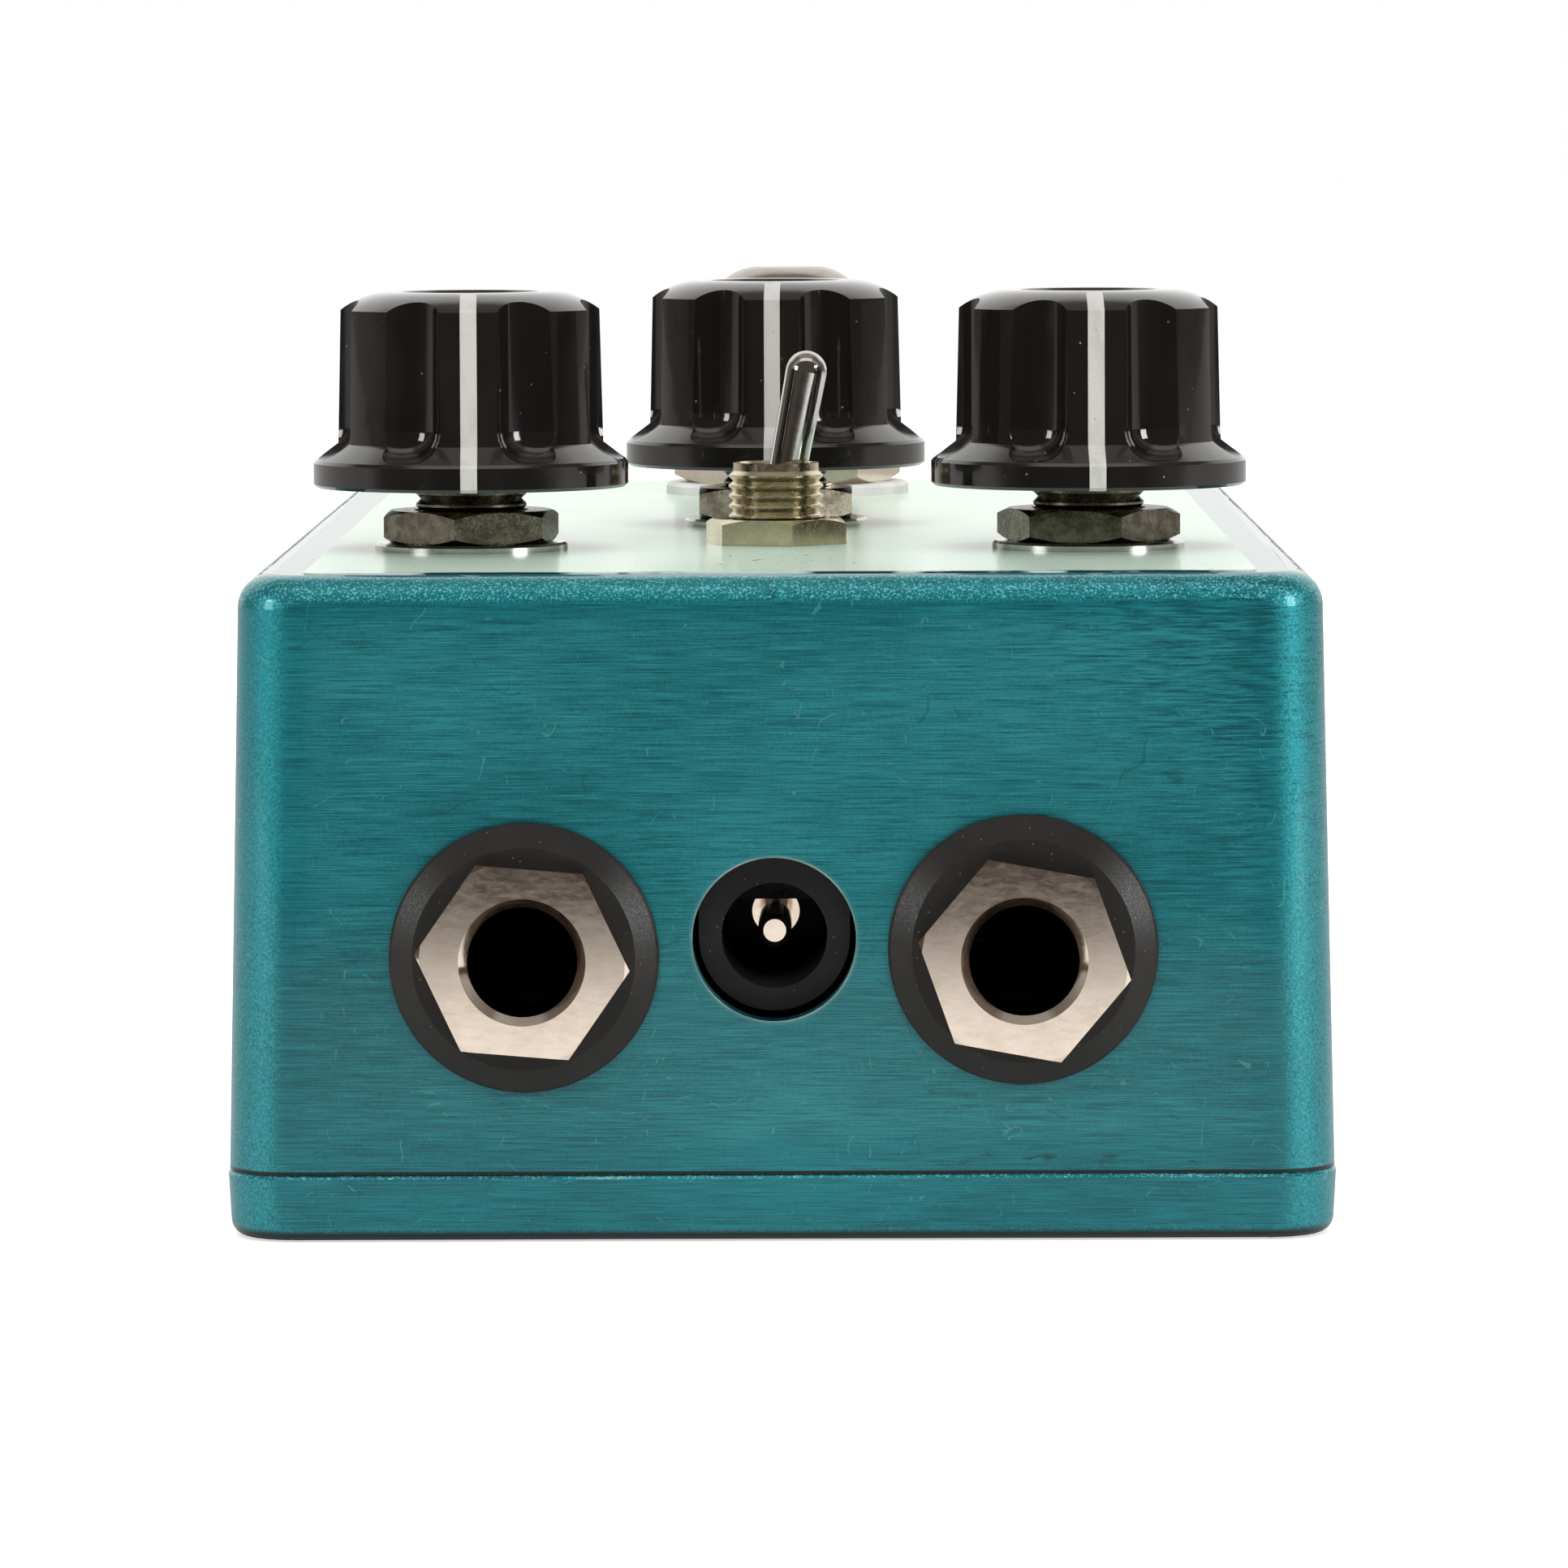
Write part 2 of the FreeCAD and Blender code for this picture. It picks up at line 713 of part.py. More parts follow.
def make_pot_fasteners():
    washers = []
    nuts = []
    hole = size("pot_bushing_radius") + 0.1
    for side, (x, y) in KNOBS.items():
        washer = flat_washer(side + "_pot_washer", size("pot_washer_radius"), hole, size("pot_washer_height"))
        washers.append(locate(washer, x, y, label_top))
        nut = hex_nut(side + "_pot_nut", size("pot_nut_flats"), size("pot_nut_height"), hole,
                      POT_NUT_TURNS[side], True)
        nuts.append(locate(nut, x, y, label_top + size("pot_washer_height")))
    subpart(group("all_pot_washers", *washers), "pot_washers")
    subpart(group("all_pot_nuts", *nuts), "pot_nuts")


def knob_side(grow):
    """The knob's outer side from its base to the edge of its flat top, grown outwards."""
    skirt = size("knob_skirt_radius") + grow
    rim = size("knob_rim_height")
    foot = size("knob_foot_radius") + grow
    shoulder = size("knob_shoulder_radius") + grow
    shoulder_z = size("knob_shoulder_height")
    top = size("knob_height") + grow
    flat = size("knob_flat_radius")
    dome_middle = ((shoulder + flat) / 2 + 0.35, (shoulder_z + top) / 2 + 0.3)
    points = [(skirt - 0.2, 0.0), (skirt, 0.2), (skirt, rim - 0.2), (skirt - 0.15, rim)]
    points += [(foot, size("knob_cone_top")), (shoulder, shoulder_z, dome_middle), (flat, top)]
    return points


def make_knob(side, x, y):
    """A fluted knob with a skirt, its pointer strip, brass insert and grub screw."""
    knob_turn = turn(KNOB_TURNS[side])
    top = size("knob_height")
    recess = size("knob_recess_radius")
    recess_z = size("knob_recess_height")
    dish = top - size("knob_dish")
    insert = size("insert_radius")
    outline = [(recess, 0.0)] + knob_side(0.0)
    outline += [(size("knob_flat_radius") - 0.35, dish), (0.0, dish), (0.0, size("insert_top"))]
    outline += [(insert, size("insert_top")), (insert, recess_z), (recess, recess_z)]
    body = turned(side + "_knob_blank", outline)

    # one flute: a round-ended cutter beside the pointer, repeated round the knob
    doc.recompute()
    solid_volume = body.Shape.Volume
    flute = new_sketch(body, "XZ_Plane", side + "_flute_outline")
    axis_x = size("flute_offset")
    outer = axis_x + size("flute_radius")
    end = size("flute_end")
    scoop = size("flute_scoop")
    floor = end - scoop
    arc_middle = (outer - scoop * (1.0 - ROOT_HALF), end - scoop * ROOT_HALF)
    draw_loop(flute, [(axis_x, top + 1.0), (axis_x, floor), (outer - scoop, floor, arc_middle),
                      (outer, end), (outer, top + 1.0)])
    axis_line = flute.addGeometry(Part.LineSegment(Vector(float(axis_x), 0, 0),
                                                   Vector(float(axis_x), float(top), 0)), True)
    pin_point(flute, axis_line, 1, (axis_x, 0.0))
    pin_point(flute, axis_line, 2, (axis_x, top))
    groove = body.newObject("PartDesign::Groove", side + "_flute")
    groove.Profile = flute
    groove.ReferenceAxis = (flute, ["Axis0"])
    groove.Angle = 360.0
    doc.recompute()
    one_flute = solid_volume - body.Shape.Volume
    if one_flute < 1.0:
        raise RuntimeError(side + ": the flute cuts nothing")
    spin = [item for item in body.Origin.OriginFeatures if item.Role == "Z_Axis"][0]
    pattern = body.newObject("PartDesign::PolarPattern", side + "_flutes")
    pattern.Originals = [groove]
    pattern.Axis = (spin, [""])
    pattern.Angle = 360.0
    pattern.Occurrences = FLUTES
    body.Tip = pattern
    doc.recompute()
    if solid_volume - body.Shape.Volume < one_flute * (FLUTES - 0.5):
        raise RuntimeError(side + ": the flutes are not all there")

    # the outline starts with a flute on +X, so the blank turns until a rib faces the pointer
    locate(body, rotation=turn(-90.0 + 180.0 / FLUTES))
    strip = pointer_strip(side + "_slot")
    screw_hole = cylinder(side + "_screw_hole", size("set_screw_radius") + 0.05, 8.0,
                          0.0, 2.5, size("set_screw_height"), turn(-90.0, (1, 0, 0)))
    knob = cut(side + "_knob_cut", body, strip, screw_hole)
    subpart(locate(knob, x, y, size("knob_base"), knob_turn), side + "_knob")

    grown = turned(side + "_pointer_skin", [(0.0, 0.0)] + knob_side(size("pointer_proud"))
                   + [(0.0, top + size("pointer_proud"))])
    pointer = common(side + "_pointer_cut", pointer_strip(side + "_strip"), grown)
    subpart(locate(pointer, x, y, size("knob_base"), knob_turn), side + "_knob_pointer")

    bore = size("insert_bore_radius")
    outline = [(bore, recess_z), (insert, recess_z), (insert, size("insert_top")), (0.0, size("insert_top"))]
    outline += [(0.0, size("insert_bore_top")), (bore, size("insert_bore_top"))]
    blank = turned(side + "_insert_blank", outline)
    hole = cylinder(side + "_insert_hole", size("set_screw_radius") + 0.05, 4.0,
                    0.0, 2.0, size("set_screw_height"), turn(-90.0, (1, 0, 0)))
    brass = cut(side + "_insert_cut", blank, hole)
    subpart(locate(brass, x, y, size("knob_base"), knob_turn), side + "_knob_insert")

    screw = cylinder(side + "_grub", size("set_screw_radius"), 3.6,
                     0.0, bore + 0.02, size("set_screw_height"), turn(-90.0, (1, 0, 0)))
    socket = hexagon(side + "_grub_socket", as_size(1.5), 2.0)
    locate(socket, 0.0, bore + 2.4, size("set_screw_height"), turn(-90.0, (1, 0, 0)))
    grub = cut(side + "_grub_cut", screw, socket)
    subpart(locate(grub, x, y, size("knob_base"), knob_turn), side + "_knob_set_screw")


def pointer_strip(name):
    """The strip that the white pointer fills, from the rim up over the shoulder, on the -Y side."""
    depth = size("pointer_depth")
    skirt = size("knob_skirt_radius") - depth
    foot = size("knob_foot_radius") - depth
    shoulder = size("knob_shoulder_radius") - depth
    tip = shoulder - 2.1
    beyond = size("knob_skirt_radius") + 1.0
    above = size("knob_height") + 1.0
    body = new_body(name)
    sketch = new_sketch(body, "YZ_Plane", name + "_outline")
    points = [(-beyond, 0.0), (-skirt, 0.0), (-skirt, size("knob_rim_height") - depth)]
    shoulder_height = size("knob_shoulder_height")
    points += [(-foot, size("knob_cone_top") - depth / 2), (-shoulder, shoulder_height - depth / 2)]
    points += [(-tip, shoulder_height + 0.25), (-tip, above), (-beyond, above)]
    draw_loop(sketch, points)
    pad(body, sketch, name + "_pad", size("pointer_width"), Midplane=True)
    return body


# ---------------------------------------------------------------- toggle switch


def make_toggle():
    x, y = (size("toggle_x"), size("toggle_y"))
    bore = size("toggle_bore_radius")
    half_x = size("toggle_body_width") / 2
    half_y = size("toggle_body_depth") / 2
    depth = size("toggle_body_height")
    case = box("toggle_case", (-half_x, -half_y, -depth), (half_x, half_y, 0.0))
    well = cylinder("toggle_well", bore, 4.0, z=-2.0)
    subpart(locate(cut("toggle_case_cut", case, well), x, y, roof_under), "toggle_body")

    stud = size("toggle_bushing_radius")
    top = size("toggle_bushing_top")
    root = size("toggle_thread_depth")
    pitch = size("toggle_thread_pitch")
    outline = [(bore, 0.0)] + thread_points(stud, root, pitch, 0.0, top - 0.5)
    outline += [(stud - size("toggle_top_chamfer"), top), (bore + 0.15, top), (bore, top - 0.15)]
    subpart(locate(turned("toggle_stud", outline), x, y, roof_under), "toggle_bushing")

    nut_height = size("toggle_nut_height")
    nut = hex_nut("toggle_nut_cut", size("toggle_nut_flats"), nut_height, stud + 0.05, TOGGLE_NUT_TURN, False)
    subpart(locate(nut, x, y, label_top), "toggle_nut")

    ball = size("toggle_ball_radius")
    neck = size("toggle_neck_radius")
    tip = size("toggle_tip_radius")
    tail = size("toggle_tail_length")
    length = size("toggle_lever_length")
    tail_join = math.sqrt(float(ball) ** 2 - 1.0)
    neck_join = math.sqrt(float(ball) ** 2 - float(neck) ** 2)
    cap_middle = (tip * ROOT_HALF, length - tip * (1.0 - ROOT_HALF))
    outline = [(0.0, -tail), (1.0, -tail), (1.0, -tail_join, (ball, 0.0)), (neck, neck_join)]
    outline += [(tip, length - tip, cap_middle), (0.0, length)]
    lever = turned("toggle_bat", outline)
    tilt = turn(DIMENSIONS["toggle_tilt"], (0, 1, 0))
    subpart(locate(lever, x, y, size("toggle_pivot_z"), tilt), "toggle_lever")

    pins = []
    foot = size("board_underside") - 0.8
    pin_top = roof_under - depth
    for step in (-1, 0, 1):
        middle = x + size("toggle_pin_pitch") * step
        pins.append(box("toggle_pin", (middle - 0.6, y - 0.4, foot), (middle + 0.6, y + 0.4, pin_top)))
    subpart(group("toggle_pins", *pins), "toggle_terminals")


# ---------------------------------------------------------------- jacks and power socket


def make_jack(side, x, washer_rise, nut_turn):
    """A quarter-inch jack. Heights run out of the box from the end wall's outer face."""
    z = size("jack_z")
    hole = size("jack_washer_hole_radius")
    rim = size("jack_washer_radius")
    flat = size("jack_washer_flat_radius")
    height = size("jack_washer_height")
    edge = size("jack_washer_edge")
    outline = [(hole, 0.0), (rim, 0.0), (rim, edge - 0.15), (rim - 0.15, edge)]
    outline += [(flat, height), (hole, height)]
    washer = turned(side + "_jack_ring", outline)
    subpart(on_end_wall(washer, x, z + washer_rise), side + "_jack_washer")

    bore = size("jack_bore_radius")
    sleeve = size("jack_sleeve_radius")
    sleeve_end = -size("jack_sleeve_length")
    flats = size("jack_nut_flats")
    front = height + size("jack_nut_height")
    reach = flats * HEX_REACH
    mouth = size("jack_mouth_radius")
    outline = [(bore, height), (reach, height), (reach, front - size("jack_nut_chamfer"))]
    outline += [(size("jack_nut_crown"), front)]
    outline += [(mouth, front), (bore, front - 0.5)]
    blank = turned(side + "_nut_blank", outline)
    prism = hexagon(side + "_nut_prism", flats, size("jack_nut_height"), height, nut_turn)
    head = common(side + "_nut_head", blank, prism)
    wall_profile = [(bore, sleeve_end), (sleeve, sleeve_end), (sleeve, height), (bore, height)]
    tube = turned(side + "_nut_tube", wall_profile)
    nut = fuse(side + "_nut_whole", head, tube)
    subpart(on_end_wall(nut, x, z), side + "_jack_nut")

    half = size("jack_body_width") / 2
    length = size("jack_body_length")
    wall_back = -(size("wall") + 0.1)
    block = box(side + "_jack_block", (-half, -half, wall_back - length), (half, half, wall_back))
    neck = cylinder(side + "_jack_neck", size("jack_neck_radius"), size("wall") + 1.0, z=wall_back - 0.9)
    room = size("jack_chamber_width") / 2
    room_back = wall_back - length - 1.0
    chamber = box(side + "_jack_room", (-room, -room, room_back), (room, room, wall_back - 1.6))
    throat = cylinder(side + "_jack_throat", sleeve + 0.1, 8.0, z=-6.5)
    housing = cut(side + "_jack_hollow", fuse(side + "_jack_solid", block, neck), chamber, throat)
    subpart(on_end_wall(housing, x, z), side + "_jack_body")

    # contact springs: flat leaves along the chamber's floor and ceiling, clear of the plug's path
    leaf = size("leaf_thickness")
    wide = size("leaf_width") / 2
    gap = bore + 0.2
    back = wall_back - length - 4.0
    sleeve_leaf = box(side + "_sleeve_leaf", (-wide, -gap - leaf, back), (wide, -gap, sleeve_end - 1.0))
    sleeve_foot = box(side + "_sleeve_foot", (-wide, -room, back + 6.0), (wide, -gap - leaf, back + 9.0))
    tip_leaf = box(side + "_tip_leaf", (-wide, gap + 0.4, back), (wide, gap + 0.4 + leaf, sleeve_end - 8.0))
    tip_foot = box(side + "_tip_foot", (-wide, gap + 0.4 + leaf, back + 6.0), (wide, room, back + 9.0))
    leaves = group(side + "_leaves", fuse(side + "_sleeve_spring", sleeve_leaf, sleeve_foot),
                   fuse(side + "_tip_spring", tip_leaf, tip_foot))
    subpart(on_end_wall(leaves, x, z), side + "_jack_contacts")


def make_power_socket():
    """A round-nosed barrel power socket hung from the main board, just behind its hole in the end wall."""
    x, z = (size("socket_x"), size("socket_z"))
    half = size("socket_width") / 2
    bore_radius = size("socket_bore_radius")
    front = end_wall_y(size("board_underside")) + size("wall") + size("socket_gap") / 2
    rear = front + size("socket_depth")
    inward = turn(-90.0, (1, 0, 0))
    block = box("socket_block", (x - half, front, z), (x + half, rear, size("board_underside")))
    nose = cylinder("socket_nose", half, size("socket_depth"), x, front, z, inward)
    bore = cylinder("socket_bore", bore_radius, size("socket_bore_depth") + 1.0, x, front - 1.0, z, inward)

    # the bore goes on into a well with a flat ceiling, where the pin's thinner stem and its flange sit
    round_well = cylinder("socket_round_well", bore_radius, size("socket_well_end"), x, front, z, inward)
    under_ceiling = box("socket_under_ceiling", (x - half, front, z - half),
                        (x + half, rear, z + size("socket_ceiling")))
    well = common("socket_well", round_well, under_ceiling)
    tail = size("socket_pin_tail")
    stem = size("socket_stem_radius")
    pin_hole = cylinder("socket_pin_hole", stem, size("socket_well_end") + tail, x, front, z, inward)
    flange = size("socket_flange_radius")
    lift = size("socket_flange_height")
    seat = cylinder("socket_seat", flange, lift, x, front + size("socket_well_end") - lift, z, inward)
    slot_front = front + size("socket_slot_start")
    slot_rear = front + size("socket_bore_depth")
    slot_low = z + size("socket_slot_lift")
    slot_top = slot_low + size("socket_slot_height")
    slot = box("socket_slot", (x - 1.7, slot_front, slot_low), (x + 1.7, slot_rear, slot_top))
    solid = fuse("socket_solid", block, nose)
    subpart(cut("socket_hollow", solid, bore, well, pin_hole, seat, slot), "power_socket_body")

    radius = size("socket_pin_radius")
    stem_end = size("socket_well_end") - size("socket_bore_depth") + 0.1
    length = size("socket_pin_length")
    outline = [(0.0, -tail), (stem, -tail), (stem, 0.0), (flange, 0.0), (flange, lift), (stem, lift)]
    outline += [(stem, stem_end), (radius, stem_end), (radius, length - 0.3)]
    outline += [(radius - 0.32, length), (0.0, length)]
    pin = turned("socket_pin", outline)
    subpart(locate(pin, x, front + size("socket_well_end"), z, turn(90.0, (1, 0, 0))), "power_socket_pin")

    leaf_low = slot_low + 0.45
    leaf_front = slot_front + 0.5
    leaf_rear = leaf_front + size("socket_leaf_length")
    leaf = box("socket_leaf", (x - 1.5, leaf_front, leaf_low), (x + 1.5, leaf_rear, leaf_low + 0.3))
    leg = box("socket_leg", (x - 1.0, leaf_rear - 1.0, leaf_low), (x + 1.0, leaf_rear - 0.5, slot_top))
    subpart(fuse("socket_contact", leaf, leg), "power_socket_contact")


# ---------------------------------------------------------------- footswitch and indicator


def make_footswitch():
    x, y = (size("foot_x"), size("foot_y"))
    half = size("foot_body_side") / 2
    plate = size("foot_plate")
    depth = plate + size("foot_body_height")
    skin = size("foot_body_wall")
    case = box("foot_case", (-half, -half, -depth), (half, half, -plate))
    room = box("foot_room", (skin - half, skin - half, skin - depth), (half - skin, half - skin, 1.0))
    subpart(locate(cut("foot_case_cut", case, room), x, y, roof_under), "footswitch_body")

    stud = size("foot_bushing_radius")
    bore = size("foot_bore_radius")
    top = size("foot_bushing_top")
    outline = [(bore, -plate)]
    outline += thread_points(stud, size("foot_thread_depth"), size("foot_thread_pitch"), -plate, top - 0.5)
    outline += [(stud - 0.5, top), (bore, top)]
    tube = turned("foot_stud", outline)
    flange = cut("foot_flange_cut", box("foot_flange", (-half, -half, -plate), (half, half, 0.0)),
                 cylinder("foot_flange_hole", bore, 4.0, z=-2.0))
    subpart(locate(fuse("foot_bushing", tube, flange), x, y, roof_under), "footswitch_bushing")

    washer = flat_washer("foot_washer", size("foot_washer_radius"), stud + 0.1, size("foot_washer_height"))
    subpart(locate(washer, x, y, label_top), "footswitch_washer")
    nut = hex_nut("foot_nut", size("foot_nut_flats"), size("foot_nut_height"), stud + 0.05, 8.0, True)
    subpart(locate(nut, x, y, label_top + size("foot_washer_height")), "footswitch_nut")

    radius = size("foot_button_radius")
    stop = size("foot_stop_radius")
    stop_top = -(plate + size("foot_stop_gap"))
    stop_foot = stop_top - size("foot_stop_height")
    crown = size("foot_button_top")
    dome = size("foot_button_dome")
    dome_middle = (radius * 0.78, crown - dome * 0.33)
    outline = [(0.0, -size("foot_tail")), (3.0, -size("foot_tail")), (3.0, stop_foot), (stop, stop_foot)]
    outline += [(stop, stop_top), (radius, stop_top), (radius, crown - dome, dome_middle)]
    outline += [(radius * 0.5, crown), (0.0, crown)]
    subpart(locate(turned("foot_plunger", outline), x, y, roof_under), "footswitch_button")

    lugs = []
    slots = []
    body_foot = roof_under - depth
    lug_end = size("foot_board_underside") - 1.0
    for step_x in (-1, 0, 1):
        for step_y in (-1, 0, 1):
            lug_x = x + size("foot_lug_pitch") * step_x
            lug_y = y + size("foot_lug_pitch") * step_y
            lugs.append(box("foot_lug", (lug_x - 1.0, lug_y - 0.4, lug_end),
                            (lug_x + 1.0, lug_y + 0.4, body_foot)))
            slots.append(box("foot_slot", (lug_x - 1.15, lug_y - 0.55, lug_end),
                             (lug_x + 1.15, lug_y + 0.55, body_foot)))
    subpart(group("foot_lugs", *lugs), "footswitch_terminals")

    board = size("foot_board_side") / 2
    under = size("foot_board_underside")
    panel = box("foot_board_panel", (x - board, y - board, under),
                (x + board, y + board, under + size("board_thickness")))
    subpart(cut("foot_board_cut", panel, *slots), "footswitch_board")


def make_indicator():
    """A round status lamp in a plated bezel, between the rear knob and the footswitch."""
    x, y = (size("led_x"), size("led_y"))
    tube = size("bezel_tube_radius")
    rim = size("bezel_radius")
    thick = size("bezel_height")
    bore = size("led_radius") + 0.05
    rise = size("wall") + size("label_thickness")
    outline = [(bore, -2.0), (tube, -2.0), (tube, rise), (rim, rise), (rim, rise + thick - 0.6)]
    outline += [(rim - 0.6, rise + thick), (bore + 0.5, rise + thick), (bore, rise + thick - 0.5)]
    subpart(locate(turned("bezel", outline), x, y, roof_under), "led_bezel")

    lens = size("led_radius")
    crown = size("led_dome_top")
    dome_middle = (lens * ROOT_HALF, crown - lens * (1.0 - ROOT_HALF))
    outline = [(0.0, -3.0), (lens, -3.0), (lens, crown - lens, dome_middle), (0.0, crown)]
    glass = turned("led_lens", outline)
    subpart(locate(glass, x, y, roof_under), "status_led")

    legs = []
    for sign in (-1, 1):
        legs.append(cylinder("led_leg", 0.25, roof_under - 3.0 - size("board_underside") + 0.8,
                             x + 1.27 * sign, y, size("board_underside") - 0.8))
    subpart(group("led_legs_pair", *legs), "led_legs")


# ---------------------------------------------------------------- circuit board and its parts


def make_board():
    """The main board. It is drilled for the pins of the pots, the toggle switch and the lamp."""
    under = size("board_underside")
    half = size("board_width") / 2
    tongue = size("board_tongue_width") / 2
    main = box("board_main", (-half, size("board_front"), under), (half, size("board_rear"), board_top))
    front = box("board_tongue", (-tongue, size("board_tongue_front"), under),
                (tongue, size("board_front") + 1.0, board_top))
    drills = []
    for side, (x, y) in KNOBS.items():
        for step in (-1, 0, 1):
            drills.append(cylinder(side + "_board_hole", size("pot_pin_radius") + 0.15, 4.0,
                                   x + size("pot_pin_pitch") * step, y + size("pot_pin_reach"), under - 1.0))
    for step in (-1, 0, 1):
        middle = size("toggle_x") + 4.7 * step
        row_y = size("toggle_y")
        drills.append(box("toggle_slot", (middle - 0.75, row_y - 0.55, under - 1.0),
                          (middle + 0.75, row_y + 0.55, board_top + 1.0)))
    for sign in (-1, 1):
        drills.append(cylinder("led_hole", 0.4, 4.0, size("led_x") + 1.27 * sign, size("led_y"), under - 1.0))
    subpart(cut("board_drilled", fuse("board_blank", main, front), *drills), "main_board")


def make_board_parts():
    """The parts soldered to the top of the main board."""
    cans = []
    for x, y in ((-24.0, -14.0), (-24.0, -2.0), (24.0, -14.0), (24.0, -2.0), (-24.0, 10.0)):
        outline = [(0.0, 0.0), (2.5, 0.0), (2.5, 7.6), (2.2, 8.0), (0.0, 8.0)]
        cans.append(locate(turned("electrolytic", outline), x, y, board_top))
    subpart(group("cans", *cans), "electrolytic_capacitors")

    films = []
    for x, y in ((-14.0, 22.0), (-14.0, 17.5), (14.0, 22.0), (14.0, 17.5), (23.0, 9.0), (23.0, 13.5)):
        films.append(box("film", (x - 3.6, y - 1.25, board_top), (x + 3.6, y + 1.25, board_top + 6.5)))
    subpart(group("films", *films), "film_capacitors")

    chips = []
    for x in (-15.5, 15.5):
        chip = box("chip", (x - 3.2, -8.0, board_top + 0.5), (x + 3.2, 1.6, board_top + 4.0))
        legs = [chip]
        for sign in (-1, 1):
            for step in range(4):
                leg_y = -7.0 + 2.54 * step
                side_x = x + 3.5 * sign
                legs.append(box("chip_leg", (side_x - 0.3, leg_y - 0.3, board_top),
                                (side_x + 0.3, leg_y + 0.3, board_top + 2.2)))
        chips.append(fuse("chip_whole", *legs))
    subpart(group("chips", *chips), "amplifier_chips")

    resistors = []
    lying = turn(90.0, (0, 1, 0))
    for x in (-15.5, 9.0):
        for step in range(4):
            outline = [(0.0, 0.0), (0.9, 0.0), (1.2, 0.4), (1.2, 1.4), (0.95, 1.8), (0.95, 4.4)]
            outline += [(1.2, 4.8), (1.2, 5.8), (0.9, 6.2), (0.0, 6.2)]
            row_y = 5.0 + 2.9 * step
            resistors.append(locate(turned("resistor", outline), x, row_y, board_top + 1.2, lying))
    subpart(group("resistor_rows", *resistors), "resistors")


def make_ribbon():
    """The flat cable that hangs in a loop between the two boards, with a header at each end."""
    thick = 0.5
    bend = 3.75
    start_y = 24.5
    middle_y = start_y + bend
    low_z = 12.0
    first_top = size("board_underside") - 2.5
    second_top = size("foot_board_underside") - 2.5
    inner = bend - thick
    outer = bend + thick
    body = new_body("ribbon_strip")
    sketch = new_sketch(body, "YZ_Plane", "ribbon_outline")
    points = [(middle_y - inner, first_top), (middle_y - outer, first_top)]
    points += [(middle_y - outer, low_z, (middle_y, low_z - outer)), (middle_y + outer, low_z)]
    points += [(middle_y + outer, second_top), (middle_y + inner, second_top)]
    points += [(middle_y + inner, low_z, (middle_y, low_z - inner)), (middle_y - inner, low_z)]
    draw_loop(sketch, points)
    pad(body, sketch, "ribbon_pad", 12.0, Midplane=True)
    subpart(body, "ribbon_cable")

    headers = []
    ends = ((start_y, size("board_underside")), (start_y + 2 * bend, size("foot_board_underside")))
    for middle, top in ends:
        headers.append(box("header", (-7.0, middle - 1.25, top - 2.5), (7.0, middle + 1.25, top)))
    subpart(group("headers", *headers), "ribbon_headers")


# ---------------------------------------------------------------- assembly

make_shell()
make_lid()
make_lid_screws()
make_label()
for knob_name, (knob_x, knob_y) in KNOBS.items():
    make_pot(knob_name, knob_x, knob_y)
    make_knob(knob_name, knob_x, knob_y)
make_pot_fasteners()
make_toggle()
for jack_name, (jack_middle, rise, nut_degrees) in JACKS.items():
    make_jack(jack_name, jack_middle, rise, nut_degrees)
make_power_socket()
make_footswitch()
make_indicator()
make_board()
make_board_parts()
make_ribbon()
doc.recompute()

for item in doc.Objects:
    if "Invalid" in item.State or "Error" in item.State:
        raise RuntimeError("%s did not compute: %s" % (item.Name, item.State))
for item in SUBPARTS:
    if item.Shape.isNull() or not item.Shape.isValid() or item.Shape.Volume <= 0:
        raise RuntimeError(item.Label + " has no valid solid")
if len({item.Label for item in SUBPARTS}) != len(SUBPARTS):
    raise RuntimeError("two sub-parts share a name")

os.makedirs("parts", exist_ok=True)
for item in SUBPARTS:
    item.Shape.exportStep(os.path.join("parts", item.Label + ".step"))
    print("%-28s %2d solid(s) %10.2f mm3" % (item.Label, len(item.Shape.Solids), item.Shape.Volume))
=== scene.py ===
import json
import math

import bmesh
import bpy
from mathutils import Matrix, Vector


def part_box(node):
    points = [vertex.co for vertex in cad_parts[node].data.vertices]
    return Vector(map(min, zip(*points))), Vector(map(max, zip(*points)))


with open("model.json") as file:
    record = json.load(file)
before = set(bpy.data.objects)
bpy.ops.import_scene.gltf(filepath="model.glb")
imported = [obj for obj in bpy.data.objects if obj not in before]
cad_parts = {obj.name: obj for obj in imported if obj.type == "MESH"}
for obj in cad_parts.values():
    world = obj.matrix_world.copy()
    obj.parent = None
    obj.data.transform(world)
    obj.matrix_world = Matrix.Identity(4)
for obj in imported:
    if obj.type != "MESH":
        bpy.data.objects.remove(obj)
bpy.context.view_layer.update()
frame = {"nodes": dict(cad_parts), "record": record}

# A guitar effects pedal, dressed: teal lacquer over brushed metal, a mint print film, gloss knobs and
# nickel hardware. Metres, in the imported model's frame: +Z up, the jack end faces -Y.

MM = 0.001
nodes = frame["nodes"]


# ---------------------------------------------------------------- places taken from the frame


def centre(node):
    low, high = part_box(node)
    return (Vector(low) + Vector(high)) / 2


SHELL_LOW, SHELL_HIGH = [Vector(corner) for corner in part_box("enclosure_shell")]
LID_HIGH = Vector(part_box("base_lid")[1])
LABEL_LOW = Vector(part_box("top_label")[0])
SEAM = SHELL_LOW.z
SOCKET = centre("power_socket_pin")
DRAFT = 0.0213                 # the walls lean in by this much for each unit of height
BORDER = 4.6 * MM              # from the outside of the box to the rubbed middle of a wall


# ---------------------------------------------------------------- shader helpers


